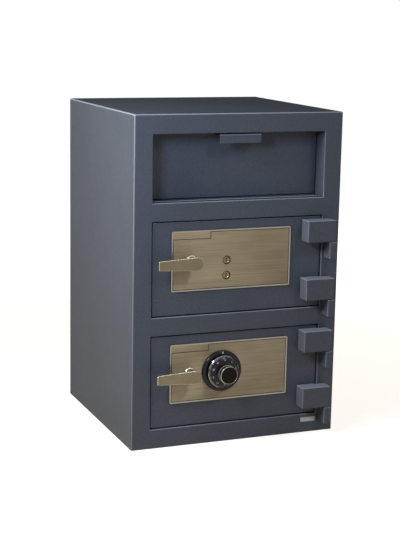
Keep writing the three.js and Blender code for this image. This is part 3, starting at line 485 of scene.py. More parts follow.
def bodyShell():
    inner, half = (corner.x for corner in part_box("right_side_plate"))
    ceiling, top = (corner.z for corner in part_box("top_plate"))
    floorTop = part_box("bottom_plate")[1].z
    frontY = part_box("front_frame")[0].y + frameThickness
    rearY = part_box("top_plate")[1].y
    backLow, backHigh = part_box("back_plate")
    outline = outerOutline(half, top, shell["cornerRound"] * mm)
    window = [(-inner, floorTop), (inner, floorTop), (inner, ceiling), (-inner, ceiling)]
    bm = bmesh.new()
    outerFront, outerRear = loopAt(bm, outline, frontY), loopAt(bm, outline, rearY)
    innerFront, innerDeep = loopAt(bm, window, frontY), loopAt(bm, window, backLow.y)
    rearRim, rearDeep = loopAt(bm, window, rearY), loopAt(bm, window, backHigh.y)
    for near, far in ((outerFront, outerRear), (innerDeep, innerFront), (rearRim, rearDeep)):
        stitch(bm, near, far)
    bm.faces.new(innerDeep)
    bm.faces.new(rearDeep)
    fillBetween(bm, outerFront, innerFront)
    fillBetween(bm, outerRear, rearRim)
    whole = solidObject("shell", bm)
    bm = bmesh.new()
    past = shell["drillPast"] * mm
    for x in (-shell["anchorX"], shell["anchorX"]):
        for y in (-shell["anchorY"], shell["anchorY"]):
            hole = circle(x * mm, y * mm, shell["anchorRadius"] * mm, shell["anchorSides"])
            prism(bm, hole, "z", -past, floorTop + past)
    cutter = solidObject("drill", bm)
    cutting = whole.modifiers.new("anchors", "BOOLEAN")
    cutting.object = cutter
    cutting.solver = "EXACT"
    settle(whole)
    bm = bmesh.new()
    bm.from_mesh(whole.data)
    for done in (whole, cutter):
        bpy.data.objects.remove(done)

    def onRearEdge(edge):
        points = [v.co for v in edge.verts]
        outside = (all(abs(p.x) > half - shell["sideBand"] * mm for p in points)
                   or all(p.z > top - shell["cornerBand"] * mm for p in points)
                   or all(p.z < nearly for p in points))
        return (outside and all(p.y > rearY - nearly for p in points) and len(edge.link_faces) == 2
                and edge.calc_face_angle(0) > shell["foldLeast"])

    weight = bm.edges.layers.float.get("bevel_weight_edge") or bm.edges.layers.float.new("bevel_weight_edge")
    for edge in bm.edges:
        edge[weight] = float(onRearEdge(edge))
    makePiece("bodyShell", bm, "safe_body", [paint],
              ["left_side_plate", "right_side_plate", "top_plate", "bottom_plate", "back_plate"],
              shell["rearRound"], weighted=True)


bodyShell()

# Front frame: one thick plate with three windows and rounded edges, and the door stops behind it

plateFrame = {"outerRound": 3.4, "windowRound": 2.4, "cornerRound": 4,
              "levels": (45.5, 263, 306, 523.5, 565.5, 717.5), "stopEndInset": 20, "stopReach": 6,
              "stopRise": 14, "stopDepth": 6, "doorInset": 4, "doorThickness": 12.7, "gap": 0.3, "embed": 0.2}


def frontFrame():
    low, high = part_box("front_frame")
    frontY = low.y
    backY = low.y + frameThickness
    levels = [z * mm for z in plateFrame["levels"]]
    outer, inner, corner, depth, reach, rise, gap, embed = (plateFrame[key] * mm for key in (
        "outerRound", "windowRound", "cornerRound", "stopDepth", "stopReach", "stopRise", "gap", "embed"))
    bm = bmesh.new()
    windows = [(widened(rectangle(-openingX, a, openingX, b)), inner)
               for a, b in zip(levels[::2], levels[1::2])]
    outline = (lambda d: outerOutline(high.x - d, high.z - d, corner - d, d), outer)
    roundedSlab(bm, outline, windows, frontY, backY)
    faceY = frontY + (plateFrame["doorInset"] + plateFrame["doorThickness"] + plateFrame["gap"]) * mm
    rearY = faceY + depth
    end = openingX - plateFrame["stopEndInset"] * mm
    for a, b in zip(levels[:4:2], levels[1:4:2]):
        for edge, away in ((a, -1), (b, 1)):
            stop = [(backY - embed, edge + away * gap), (faceY, edge + away * gap),
                    (faceY, edge - away * reach), (rearY, edge - away * reach),
                    (rearY, edge + away * rise), (backY - embed, edge + away * rise)]
            prism(bm, stop, "x", -end, end)
    makePiece("frontFrame", bm, "safe_body", [paint], ["front_frame"])


frontFrame()
refine("divider_shelf", "safe_body", "body_paint", shell["shelfEdge"])
print("body made")

# Hopper: panel, bent pull lip, cheeks, tray and the fixed quarter drum

hopperSheet = {"thickness": 3, "edge": 0.6, "bendRound": 3.2, "bendInner": 0.2, "bendSteps": 6,
               "lipEdge": 0.5, "sillEdge": 1.3}


def pullLip():
    low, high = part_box("pull_lip")
    sheet, bend = hopperSheet["thickness"] * mm, hopperSheet["bendRound"] * mm
    small = max(bend - sheet, hopperSheet["bendInner"] * mm)
    steps = hopperSheet["bendSteps"]
    angles = [math.radians(180 - 90 * i / steps) for i in range(steps + 1)]

    def around(radius):
        return [(low.y + bend + radius * math.cos(angle), high.z - bend + radius * math.sin(angle))
                for angle in angles]

    outer = [(low.y, low.z), *around(bend), (high.y, high.z)]
    inner = [(low.y + sheet, low.z), *around(small), (high.y, high.z - sheet)]
    bm = bmesh.new()
    prism(bm, outer + inner[::-1], "x", low.x, high.x)
    makePiece("pullLip", bm, "hopper", [paint], ["pull_lip"], hopperSheet["lipEdge"], angle=50)


pullLip()
for nodeName in ("hopper_panel", "hopper_left_cheek", "hopper_right_cheek", "deposit_tray"):
    refine(nodeName, "hopper", "body_paint", hopperSheet["edge"])
for nodeName in ("hopper_housing_left_wall", "hopper_housing_right_wall", "hopper_header",
                 "anti_fishing_baffle"):
    refine(nodeName, "safe_body", "body_paint", hopperSheet["edge"])
refine("hopper_sill", "safe_body", "body_paint", hopperSheet["sillEdge"], steps=3)
refine("hopper_stop_bar", "safe_body", "steel", hopperSheet["edge"])
print("hopper made")

# Hinges: square forged blocks on the door and knuckles on the frame, each with eased edges

hinge = {"blockRound": 1.8, "pinX": 222.5, "pinY": -260, "turnRadius": 15.7, "turnSteps": 6, "faceY": -244.3,
         "footX": 205.5, "knuckleRound": 1.5, "roundSteps": 4}


def hingeBlock(node, body):
    low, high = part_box(node)
    pinX, pinY, radius, faceY, footX = (hinge[key] * mm for key in (
        "pinX", "pinY", "turnRadius", "faceY", "footX"))
    start = math.asin((high.x - pinX) / radius)
    steps = hinge["turnSteps"]
    profile = [(low.x, low.y), (high.x, low.y)]
    for i in range(steps + 1):
        angle = math.pi / 2 - start * (1 - i / steps)
        profile.append((pinX + radius * math.cos(angle), pinY + radius * math.sin(angle)))
    profile += [(footX, faceY), (footX, high.y), (low.x, high.y)]
    bm = bmesh.new()
    prism(bm, profile, "z", low.z, high.z)
    makePiece(node + "_fine", bm, body, [hingePaintHighlighted], [node], hinge["blockRound"],
              hinge["roundSteps"], angle=50)


def hingeKnuckle(node):
    bm = bmesh.new()
    block(bm, *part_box(node))
    makePiece(node + "_fine", bm, "safe_body", [hingePaintHighlighted], [node], hinge["knuckleRound"],
              hinge["roundSteps"])


for door in doors:
    for level in ("top", "bottom"):
        hingeBlock(f"{door}_door_{level}_hinge_block", f"{door}_door")
        hingeKnuckle(f"{door}_door_{level}_knuckle")
print("hinges made")

# Doors: thick plates with eased edges, and brushed face plates with an engraved line around a bare name field

doorSizes = {"edge": 1.25, "spindleHole": 7.1, "noseHole": 10, "dialHole": 4.1}
facePlate = {"corner": 4, "border": 4.0, "line": 1.7, "depth": 0.35, "nameWidth": 94, "nameHeight": 19}
grainScale = 4
handleX = -116 * mm
keyX = -29.5 * mm
keyZs = (429.6 * mm, 394.4 * mm)
dialCentre = (-36.5 * mm, 171.25 * mm)
handleZs = {"upper": 431.75 * mm, "lower": 171.25 * mm}


def doorHoles(door):
    # The place and radius of each hole through a door: the lever's spindle first, then its lock.
    if door == "upper":
        lock = [(keyX, z, doorSizes["noseHole"] * mm) for z in keyZs]
    else:
        lock = [(*dialCentre, doorSizes["dialHole"] * mm)]
    return [(handleX, handleZs[door], doorSizes["spindleHole"] * mm), *lock]


def doorPlate(door):
    node = f"{door}_door_plate"
    low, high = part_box(node)
    holes = [(disc(*hole), 0) for hole in doorHoles(door)]
    bm = bmesh.new()
    roundedSlab(bm, (rectangle(low.x, low.z, high.x, high.z), doorSizes["edge"] * mm), holes, low.y, high.y)
    makePiece(node + "_fine", bm, f"{door}_door", [paint], [node])


def facePlatePiece(door):
    node = f"{door}_face_plate"
    low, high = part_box(node)
    border, half, depth = facePlate["border"] * mm, facePlate["line"] * mm / 2, facePlate["depth"] * mm
    nameX = low.x + facePlate["nameWidth"] * mm
    nameZ = high.z - facePlate["nameHeight"] * mm

    def lineLoop(d):
        left, right = low.x + border + d, high.x - border - d
        bottom, top = low.z + border + d, high.z - border - d
        return [(left, bottom), (right, bottom), (right, top), (nameX + d, top), (nameX + d, nameZ - d),
                (left, nameZ - d)]

    outline = roundRect(low.x, low.z, high.x, high.z, facePlate["corner"] * mm)
    holes = [circle(*hole, smoothSides) for hole in doorHoles(door)]
    inner = rectangle(low.x + border, low.z + border, high.x - border, high.z - border)
    nameField = rectangle(low.x + border - half, nameZ + half, nameX - half, high.z - border + half)
    bm = bmesh.new()
    prism(bm, outline, "y", low.y + depth, high.y, holes, finish=2)
    prism(bm, outline, "y", low.y, low.y + depth, [inner(-half)], finish=1)
    prism(bm, lineLoop(half), "y", low.y, low.y + depth, holes)
    prism(bm, nameField(0), "y", low.y + depth / 3, low.y + depth)
    finishes = [plateField, plateBorder, plateInk]
    piece = makePiece(node + "_fine", bm, f"{door}_door", finishes, [node])
    grain = piece.data.uv_layers.new(name="grain")
    for loop in piece.data.loops:
        co = piece.data.vertices[loop.vertex_index].co
        grain.data[loop.index].uv = (co.x * grainScale + 0.5, co.z * grainScale + 0.5)


for door in doors:
    doorPlate(door)
    facePlatePiece(door)
print("doors made")

# Levers: a flat tapered bar on a turned neck, which is given as radius and distance from the bar's back or
# from the door

lever = {"edge": 1.6, "edgeSteps": 4, "tipHalf": 10.75, "hubRadius": 15.5, "hubSteps": 28, "thickness": 8,
         "tipX": -206.8, "neckFront": ((0, -2), (13, -2), (12.5, 0), (10.5, 3)),
         "neckRear": ((10.5, -5), (11.5, -3.6), (12.7, -3), (13.5, -2.2), (13.5, 0), (0, 0))}


def leverPiece(door):
    node = f"{door}_handle"
    low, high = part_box(node)
    z = handleZs[door]
    hub, tipHalf, tipX = lever["hubRadius"] * mm, lever["tipHalf"] * mm, lever["tipX"] * mm
    taper = math.asin((hub - tipHalf) / (handleX - tipX))
    outline = []
    for i in range(lever["hubSteps"] + 1):
        angle = -math.pi / 2 - taper + (math.pi + 2 * taper) * i / lever["hubSteps"]
        outline.append((handleX + hub * math.cos(angle), z + hub * math.sin(angle)))
    outline += [(tipX, z + tipHalf), (tipX, z - tipHalf)]
    backY = low.y + lever["thickness"] * mm
    bm = bmesh.new()
    prism(bm, outline, "y", low.y, backY)
    neck = [(radius, start / mm + along) for start, part in ((backY, "neckFront"), (high.y, "neckRear"))
            for radius, along in lever[part]]
    turned(bm, neck, (handleX, z), smoothSides)
    makePiece(node + "_fine", bm, f"{door}_handle", [nickel], [node], lever["edge"],
              lever["edgeSteps"], angle=60)


for door in doors:
    leverPiece(door)
print("levers made")

# Key lock: two round noses in their holes, each with a plug and a crooked keyway

keyLock = {"noseRadius": 9, "noseEase": 1.1, "noseEmbed": 1, "boreEase": 0.3, "plugRadius": 5.5,
           "plugBore": 5.8, "plugEdge": 0.35, "caseFrontY": -227, "keywayHeight": 8.4, "keywayHalf": 1.3,
           "keywayDepth": 9, "keywaySway": 0.9, "keywaySteps": 10, "keywayBends": 3}


def keyLockCase():
    low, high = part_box("upper_lock_case")
    frontY, caseY = low.y / mm, keyLock["caseFrontY"]
    bm = bmesh.new()
    block(bm, (low.x, caseY * mm, low.z), high)
    bore, radius, ease, boreEase = (keyLock[key] for key in (
        "plugBore", "noseRadius", "noseEase", "boreEase"))
    rearY = caseY + keyLock["noseEmbed"]
    nose = [(bore, frontY + boreEase), (bore + boreEase, frontY), (radius - ease, frontY),
            (radius, frontY + ease), (radius, rearY), (bore, rearY)]
    for z in keyZs:
        turned(bm, nose, (keyX, z), smoothSides, closed=True, finish=1)
    makePiece("upper_lock_case_fine", bm, "upper_door", [zinc, nickel], ["upper_lock_case"])


def keyPlug(node, z, body):
    low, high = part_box(node)
    height, half, sway, depth = (keyLock[key] * mm for key in (
        "keywayHeight", "keywayHalf", "keywaySway", "keywayDepth"))
    steps = keyLock["keywaySteps"]
    left, right = [], []
    for i in range(steps + 1):
        v = z - height / 2 + height * i / steps
        shift = sway * math.sin(i / steps * keyLock["keywayBends"] * math.pi)
        left.append((keyX - half + shift, v))
        right.append((keyX + half + shift, v))
    plug = circle(keyX, z, keyLock["plugRadius"] * mm, smoothSides)
    bm = bmesh.new()
    prism(bm, plug, "y", low.y, low.y + depth, [left + right[::-1]])
    prism(bm, plug, "y", low.y + depth, high.y)
    makePiece(node + "_fine", bm, body, [brass], [node], keyLock["plugEdge"], 2, angle=60)


keyLockCase()
keyPlug("guard_key_plug", keyZs[0], "guard_key")
keyPlug("customer_key_plug", keyZs[1], "customer_key")
print("key lock made")

# Combination dial: black ring with an index mark, numbered cone, chromed rims and a fluted knob

dial = {"ringRadius": 48, "ringBore": 10, "ringEase": 3, "ringSteps": 6, "recess": 1, "recessRadius": 39.2,
        "lipRadius": 39.8, "indexRadius": 42.8, "indexHalf": 2.8, "indexProud": 0.12, "indexEmbed": 0.2,
        "dialRadius": 38, "rimEase": 1.3, "rimDepth": 7.5, "shoulder": 32.4, "shoulderRise": 3.9,
        "middle": 27, "middleRise": 6.2, "coneRise": 7.2, "knobBase": 21.5, "neck": 16.5, "grip": 20.4,
        "gripDepth": 14.5, "knobRadius": 21, "flutes": 32, "fluteDepth": 0.45, "fluteSides": 8,
        "dialSides": 128, "trimSides": 96, "marks": 100, "numberEvery": 10, "numberRadius": 29,
        "numberSize": 5, "numberDepth": 0.08, "numberSwell": 0.04, "numberProud": 0.02, "tickOuter": 36.4}


def dialRing():
    low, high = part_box("dial_ring")
    front, back = low.y / mm, high.y / mm
    radius, ease, bore, recess = (dial[key] for key in ("ringRadius", "ringEase", "ringBore", "recess"))
    profile = [(bore, back), (bore, front + recess), (dial["recessRadius"], front + recess),
               (dial["lipRadius"], front)]
    for i in range(dial["ringSteps"] + 1):
        angle = math.radians(90 * i / dial["ringSteps"])
        profile.append((radius - ease + ease * math.sin(angle), front + ease - ease * math.cos(angle)))
    profile.append((radius, back))
    bm = bmesh.new()
    turned(bm, profile, dialCentre, dial["trimSides"], closed=True)
    makePiece("dial_ring_fine", bm, "lower_door", [enamel], ["dial_ring"])
    x, z = dialCentre
    z += dial["indexRadius"] * mm
    half = dial["indexHalf"] * mm
    bm = bmesh.new()
    prism(bm, [(x - half, z + half), (x, z - half), (x + half, z + half)], "y",
          low.y - dial["indexProud"] * mm, low.y + dial["indexEmbed"] * mm)
    makePiece("indexMark", bm, "lower_door", [whiteInk])


def dialFaces():
    low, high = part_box("combination_dial")
    front, back = low.y / mm, high.y / mm
    rim = back - dial["rimDepth"]
    cone = rim - dial["coneRise"]
    grip, neck, knob, outer = dial["grip"], dial["neck"], dial["knobRadius"], dial["dialRadius"]
    gripBack = front + dial["gripDepth"]
    flutes, sides, trimSides = dial["flutes"], dial["dialSides"], dial["trimSides"]

    def fluting(angle):
        return 1 - dial["fluteDepth"] / grip * (0.5 + 0.5 * math.cos(flutes * angle))

    disk = [(0, back), (outer - 0.8, back), (outer, back - 0.8), (outer, rim + 1),
            (outer - dial["rimEase"], rim), (dial["shoulder"], rim - dial["shoulderRise"]),
            (dial["middle"], rim - dial["middleRise"]),
            (dial["knobBase"], cone), (neck + 1.6, cone - 0.3), (neck, cone - 1.6), (neck, gripBack - 1),
            (0, gripBack - 1)]
    rimTrim = [(outer + 0.02, rim + 2), (outer + 0.02, rim + 0.9), (outer - 0.8, rim + 0.1),
               (outer - 1.1, rim + 0.5), (outer - 0.6, rim + 2)]
    knobGrip = [(0, gripBack), (grip - 1.4, gripBack), (grip - 0.6, gripBack - 0.8),
                (grip - 0.6, gripBack - 1.6), (grip, gripBack - 2.2), (grip, front + 4.4),
                (knob, front + 3.2), (knob, front + 1.8), (0, front + 1.8)]
    gripTrim = [(grip - 1, gripBack + 0.2), (grip + 0.2, gripBack - 0.4), (grip + 0.2, gripBack - 1.4),
                (grip - 1, gripBack - 1.8)]
    knobFace = [(0, front + 1.9), (knob - 0.3, front + 1.9), (knob - 0.2, front + 0.9),
                (knob - 1, front + 0.1), (knob - 1.5, front + 0.1), (knob - 2, front + 0.7),
                (0, front + 0.9)]
    faceTrim = [(knob - 0.15, front + 1.7), (knob - 0.05, front + 0.9), (knob - 0.8, front),
                (knob - 1.3, front), (knob - 1.6, front + 0.5), (knob - 1.2, front + 1.7)]
    bm = bmesh.new()
    turned(bm, disk, dialCentre, sides)
    turned(bm, rimTrim, dialCentre, sides, closed=True, finish=1)
    turned(bm, knobGrip, dialCentre, flutes * dial["fluteSides"], finish=2, wave=fluting)
    turned(bm, gripTrim, dialCentre, trimSides, closed=True, finish=1)
    turned(bm, knobFace, dialCentre, trimSides, finish=2)
    turned(bm, faceTrim, dialCentre, trimSides, closed=True, finish=1)
    makePiece("combination_dial_fine", bm, "dial", [enamel, chrome, phenolic],
              ["combination_dial"])
    return rim * mm


def dialNumbers(rim):
    # Numbers from 0 to 90 stand on the cone, read from outside.
    slope = math.atan2(dial["middleRise"] - dial["shoulderRise"], dial["shoulder"] - dial["middle"])
    radius = dial["numberRadius"] * mm
    along = rim - dial["middleRise"] * mm + (radius - dial["middle"] * mm) * math.tan(slope)
    centre = Matrix.Translation((dialCentre[0], 0, dialCentre[1]))
    lift = Matrix.Translation((0, along - dial["numberProud"] * mm, radius))
    stand = Matrix.Rotation(-slope, 4, "X") @ Matrix.Rotation(math.pi / 2, 4, "X")
    bm = bmesh.new()
    for number in range(0, dial["marks"], dial["numberEvery"]):
        text = bpy.data.curves.new("number", "FONT")
        text.body = str(number)
        text.size = dial["numberSize"] * mm
        text.align_x = "CENTER"
        text.align_y = "CENTER"
        text.extrude = dial["numberDepth"] * mm
        text.offset = dial["numberSwell"] * mm
        holder = addObject("number", text)
        flat = plainMesh(holder)
        turn = Matrix.Rotation(2 * math.pi * number / dial["marks"], 4, "Y")
        flat.transform(centre @ turn @ lift @ stand)
        bm.from_mesh(flat)
        bpy.data.objects.remove(holder)
        bpy.data.meshes.remove(flat)
    makePiece("dialNumbers", bm, "dial", [whiteInk])


def tickTree(values):
    # Marks around the cone: each tenth is full length, each fifth two thirds of it, the rest under half.
    tree, inputs = makeTree("dialTicks", values)
    index = addNode(tree, "GeometryNodeInputIndex")
    turn = addNode(tree, "Math", {0: index, 1: 2 * math.pi / dial["marks"]}, operation="MULTIPLY")
    share = 0.45
    for every, more in ((5.0, 0.22), (10.0, 0.33)):
        left = addNode(tree, "Math", {0: index, 1: every}, operation="MODULO")
        chosen = addNode(tree, "Math", {0: left, 1: 0.5}, operation="LESS_THAN")
        share = addNode(tree, "Math", {0: chosen, 1: more, 2: share}, operation="MULTIPLY_ADD")
    length = addNode(tree, "Math", {0: share, 1: inputs["Long Length"]}, operation="MULTIPLY")
    outer = inputs["Outer Radius"]
    halfway = addNode(tree, "Math", {0: length, 1: -0.5, 2: outer}, operation="MULTIPLY_ADD")
    inward = addNode(tree, "Math", {0: outer, 1: halfway}, operation="SUBTRACT")
    drop = addNode(tree, "Math", {0: inputs["Slope"]}, operation="TANGENT")
    depth = addNode(tree, "Math", {0: inward, 1: drop}, operation="MULTIPLY")
    along = addNode(tree, "Math", {0: inputs["Along"], 1: depth}, operation="SUBTRACT")
    straight = addNode(tree, "CombineXYZ", {"Y": along, "Z": halfway})
    placed = addNode(tree, "VectorRotate", {"Vector": straight, "Angle": turn}, rotation_type="Y_AXIS")
    moved = addNode(tree, "VectorMath", {0: placed, 1: inputs["Centre"]}, operation="ADD")
    points = addNode(tree, "GeometryNodePoints", {"Count": inputs["Count"], "Position": moved})
    tilt = addNode(tree, "FunctionNodeAxisAngleToRotation", {"Axis": (-1, 0, 0), "Angle": inputs["Slope"]})
    spin = addNode(tree, "FunctionNodeAxisAngleToRotation", {"Axis": (0, 1, 0), "Angle": turn})
    facing = addNode(tree, "FunctionNodeRotateRotation", {"Rotation": tilt, "Rotate By": spin})
    size = addNode(tree, "CombineXYZ", {"X": inputs["Width"], "Y": inputs["Height"], "Z": length})
    bar = addNode(tree, "GeometryNodeMeshCube", {"Size": (1, 1, 1)})
    ticks = addNode(tree, "GeometryNodeInstanceOnPoints",
                    {"Points": points, "Instance": bar, "Rotation": facing, "Scale": size})
    endTree(tree, ticks, inputs)
    return tree


dialRing()
rimY = dialFaces()
dialNumbers(rimY)
rimEnd = dial["dialRadius"] - dial["rimEase"]
tickSlope = math.atan2(dial["shoulderRise"], rimEnd - dial["shoulder"])
tickEdge = rimY - (rimEnd - dial["tickOuter"]) * mm * math.tan(tickSlope)
tickValues = {
    "Count": dial["marks"], "Outer Radius": dial["tickOuter"] * mm, "Long Length": 3.6 * mm,
    "Width": 0.5 * mm, "Height": 0.2 * mm, "Along": tickEdge, "Slope": tickSlope,
    "Centre": (dialCentre[0], 0, dialCentre[1]), "Material": whiteInk}
grow("dialTicks", tickTree(tickValues), [], [], tickValues, "dial")
print("dial made")

# Bolt work behind the doors

boltWork = {"edge": 0.8, "coverEdge": 1.2, "caseEdge": 0.5}
for door in doors:
    refine(f"{door}_dead_bar", f"{door}_door", "steel", boltWork["edge"])
    refine(f"{door}_bolt_guide", f"{door}_door", "steel", boltWork["edge"])
    refine(f"{door}_bolt_cover", f"{door}_door", "zinc", boltWork["coverEdge"])
    refine(f"{door}_bolt_carriage", f"{door}_bolts", "steel", boltWork["edge"])
refine("lower_lock_case", "lower_door", "zinc", boltWork["caseEdge"])
print("bolt work made")

# Button-head screws on the covers, and the weld beads of the body's seams

screw = {"inset": 13, "rows": 3, "headSides": 24, "seed": 4, "fullTurn": 6.28}
screwValues = {
    "Head Radius": 3.6 * mm, "Crown Radius": 2.3 * mm, "Head Height": 1.9 * mm, "Socket Radius": 1.5 * mm,
    "Socket Depth": 1.1 * mm, "Facing": (0, 1, 0), "Material": steel}
bead = {"seamInset": 0.4, "shelfInset": 4}
beadValues = {"Step": 3.6 * mm, "Radius": 2.2 * mm, "Flatness": 0.55, "Seed": 7, "Material": paint}


def screwTree():
    # A domed head with a six-sided socket, each turned by its own random angle.
    tree, inputs = makeTree("coverScrews", screwValues)
    height = inputs["Head Height"]
    head = addNode(tree, "GeometryNodeMeshCone", {
        "Vertices": screw["headSides"], "Side Segments": 1, "Radius Top": inputs["Crown Radius"],
        "Radius Bottom": inputs["Head Radius"], "Depth": height})
    socket = addNode(tree, "GeometryNodeMeshCylinder", {
        "Vertices": 6, "Radius": inputs["Socket Radius"], "Depth": height})
    start = addNode(tree, "Math", {0: height, 1: inputs["Socket Depth"]}, operation="SUBTRACT")
    raised = addNode(tree, "CombineXYZ", {"Z": start})
    half = addNode(tree, "VectorMath", {0: (0, 0, 1), "Scale": height}, operation="SCALE")
    half = addNode(tree, "VectorMath", {0: half, 1: (0.5, 0.5, 0.5)}, operation="MULTIPLY")
    place = addNode(tree, "VectorMath", {0: raised, 1: half}, operation="ADD")
    cut = addNode(tree, "GeometryNodeTransform", {"Geometry": socket, "Translation": place})
    drilled = addNode(tree, "GeometryNodeMeshBoolean", {"Mesh 1": head, "Mesh 2": cut},
                      operation="DIFFERENCE", solver="EXACT")
    upright = addNode(tree, "FunctionNodeAlignRotationToVector", {"Vector": inputs["Facing"]}, axis="Z")
    turns = addNode(tree, "FunctionNodeRandomValue", {"Max": screw["fullTurn"], "Seed": screw["seed"]},
                    data_type="FLOAT")
    spin = addNode(tree, "FunctionNodeAxisAngleToRotation", {"Axis": (0, 0, 1), "Angle": turns.outputs[1]})
    facing = addNode(tree, "FunctionNodeRotateRotation", {"Rotation": upright, "Rotate By": spin},
                     rotation_space="LOCAL")
    screws = addNode(tree, "GeometryNodeInstanceOnPoints", {
        "Points": inputs["Geometry"], "Instance": drilled, "Rotation": facing})
    endTree(tree, screws, inputs)
    return tree


def beadTree():
    # Overlapping ripples laid along a seam, each a flattened bead that varies a little in size.
    tree, inputs = makeTree("weldBead", beadValues)
    path = addNode(tree, "GeometryNodeMeshToCurve", {"Mesh": inputs["Geometry"]})
    spaced = addNode(tree, "GeometryNodeResampleCurve", {"Curve": path, "Length": inputs["Step"]},
                     mode="LENGTH")
    ripple = addNode(tree, "GeometryNodeMeshUVSphere", {
        "Segments": 10, "Rings": 6, "Radius": inputs["Radius"]})
    points = addNode(tree, "GeometryNodeCurveToPoints", {"Curve": spaced}, mode="EVALUATED")
    along = addNode(tree, "FunctionNodeAlignRotationToVector", {"Vector": points.outputs["Tangent"]},
                    axis="X")
    swell = addNode(tree, "FunctionNodeRandomValue", {"Min": 0.86, "Max": 1.0, "Seed": inputs["Seed"]},
                    data_type="FLOAT").outputs[1]
    flat = addNode(tree, "Math", {0: swell, 1: inputs["Flatness"]}, operation="MULTIPLY")
    size = addNode(tree, "CombineXYZ", {"X": 1.0, "Y": swell, "Z": flat})
    beads = addNode(tree, "GeometryNodeInstanceOnPoints", {
        "Points": points, "Instance": ripple, "Rotation": along, "Scale": size})
    endTree(tree, beads, inputs)
    return tree


def coverScrews(door, tree):
    low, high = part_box(f"{door}_bolt_cover")
    inset, gaps = screw["inset"] * mm, screw["rows"] - 1
    points = [(x, high.y, low.z + inset + (high.z - low.z - 2 * inset) * row / gaps)
              for x in (low.x + inset, high.x - inset) for row in range(screw["rows"])]
    grow(f"{door}_cover_screws", tree, points, [], screwValues, f"{door}_door")


def bodySeams(tree):
    inset, shelfInset = bead["seamInset"] * mm, bead["shelfInset"] * mm
    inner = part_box("right_side_plate")[0].x - inset
    backLow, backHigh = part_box("back_plate")
    low, high, rearY = backLow.z + inset, backHigh.z - inset, backHigh.y + inset
    shelfLow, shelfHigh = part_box("divider_shelf")
    points = [(-inner, rearY, low), (inner, rearY, low), (inner, rearY, high), (-inner, rearY, high)]
    edges = [(0, 1), (1, 2), (2, 3), (3, 0)]
    for x in (-inner, inner):
        for z in (shelfLow.z - inset, shelfHigh.z + inset):
            edges.append((len(points), len(points) + 1))
            points += [(x, shelfLow.y + shelfInset, z), (x, shelfHigh.y - shelfInset, z)]
    grow("weldBeads", tree, points, edges, beadValues, "safe_body")


screwMaker = screwTree()
for door in doors:
    coverScrews(door, screwMaker)
bodySeams(beadTree())
print("screws and weld beads made")

# Bare label on the bottom rail

label = {"left": 170.4, "low": 26.4, "right": 209.0, "high": 37.4, "corner": 1.5, "thickness": 0.25}


def bareLabel():
    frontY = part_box("front_frame")[0].y
    bm = bmesh.new()
    outline = roundRect(*(label[key] * mm for key in ("left", "low", "right", "high", "corner")))
    prism(bm, outline, "y", frontY - label["thickness"] * mm, frontY)
    makePiece("bareLabel", bm, "safe_body", [vinyl])


bareLabel()

# Stage: pale floor, soft lamps and the camera at the photograph's angle

stageSizes = {"floorRadius": 6.0, "lift": 0.76, "fadeFrom": 0.9, "fadeTo": 2.4, "ambient": 0.06}
white = (1, 1, 1, 1)


def seenRays(tree):
    # One for a ray that shows the stage itself: from the camera, in a reflection or through glass.
    rays = addNode(tree, "LightPath").outputs
    seen = addNode(tree, "Math", {0: rays["Is Camera Ray"], 1: rays["Is Glossy Ray"]}, operation="MAXIMUM")
    return addNode(tree, "Math", {0: seen, 1: rays["Is Transmission Ray"]}, operation="MAXIMUM")


def floorPaper():
    # Warm off-white paper: it takes the object's shadow and goes over into the white background further out.
    material = bpy.data.materials.new("floorPaper")
    material.use_nodes = True
    tree = material.node_tree
    tree.nodes.clear()
    seen = seenRays(tree)
    place = addNode(tree, "TexCoord").outputs["Object"]
    away = addNode(tree, "VectorMath", {0: place}, operation="LENGTH").outputs["Value"]
    fade = span(stageSizes["fadeFrom"], stageSizes["fadeTo"], stageSizes["lift"], 1.0)
    lift = addNode(tree, "MapRange", {"Value": away, **fade}, interpolation_type="SMOOTHSTEP")
    strength = addNode(tree, "Math", {0: seen, 1: lift}, operation="MULTIPLY")
    glow = addNode(tree, "Emission", {"Color": white, "Strength": strength})
    grain = addNode(tree, "TexNoise", {"Scale": 3.0})
    paper = addNode(tree, "BsdfDiffuse", {"Color": blendColours(tree, grain, "#c9b8a4", "#d2c3b1")})
    both = addNode(tree, "AddShader", {0: glow, 1: paper})
    addNode(tree, "OutputMaterial", {"Surface": both})
    return material


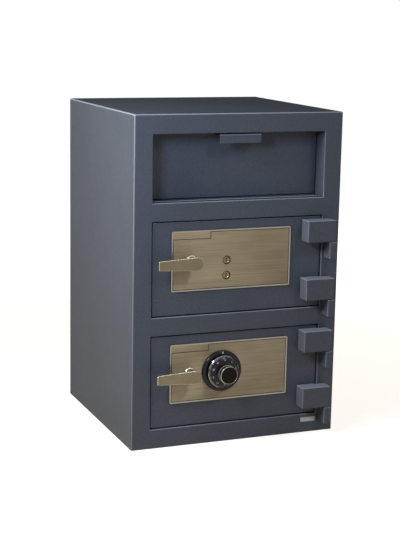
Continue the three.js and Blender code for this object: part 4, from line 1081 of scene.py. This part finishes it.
floorMesh = bpy.data.meshes.new("floor")
rimPoints = circle(0, 0, stageSizes["floorRadius"], smoothSides)
floorMesh.from_pydata([(x, y, 0) for x, y in rimPoints], [], [range(smoothSides)])
floorMesh.materials.append(floorPaper())
floor = addObject("floor", floorMesh)


def studioWorld():
    # Faint cool light from all round, and plain white where the world is seen.
    world = bpy.data.worlds.new("studio")
    world.use_nodes = True
    tree = world.node_tree
    tree.nodes.clear()
    seen = seenRays(tree)
    dim = addNode(tree, "Background", {"Color": linear("#f4f6fa"), "Strength": stageSizes["ambient"]})
    plain = addNode(tree, "Background", {"Color": white, "Strength": 1.0})
    mix = addNode(tree, "MixShader", {0: seen, 1: dim, 2: plain})
    addNode(tree, "OutputWorld", {"Surface": mix})
    bpy.context.scene.world = world


studioWorld()

lampTarget = Vector((0, 0, 0.4))
lamps = {
    "side": {"place": (-1.25, -0.42, 1.26), "size": 0.5, "watts": 21, "colour": "#fff8ef"},
    "front": {"place": (-0.75, -0.78, 0.98), "size": 0.24, "watts": 5.6, "colour": "#bdd2ff"},
    "rear": {"place": (2.2, 2.0, 1.5), "size": 1.2, "watts": 50, "colour": "#fff6ec"},
    "plate": {"place": (0.92, -2.2, 2.4), "size": 0.6, "watts": 13, "colour": "#fbfaff"},
}
for lampName, lamp in lamps.items():
    light = bpy.data.lights.new(lampName, "AREA")
    light.shape = "DISK"
    light.size = lamp["size"]
    light.energy = lamp["watts"]
    light.color = linear(lamp["colour"])[:3]
    lampObject = addObject(lampName, light)
    lampObject.location = lamp["place"]
    lampObject.rotation_euler = (lampTarget - Vector(lamp["place"])).to_track_quat("-Z", "Y").to_euler()

view = {
    "place": (-1.213466, -2.992200, 1.000528),
    "right": (0.927416, -0.373569, 0.018586),
    "up": (0.05557, 0.186757, 0.980833),
    "back": (-0.36988, -0.908608, 0.19396),
    "lens": 90.014,
    "sensor": 36,
}
lens = bpy.data.cameras.new("camera")
lens.lens = view["lens"]
lens.sensor_width = view["sensor"]
camera = addObject("camera", lens)
axes = Matrix((view["right"], view["up"], view["back"])).transposed().to_4x4()
camera.matrix_world = Matrix.Translation(view["place"]) @ axes
bpy.context.scene.camera = camera
bpy.context.scene.view_settings.view_transform = "Standard"
print("stage set")
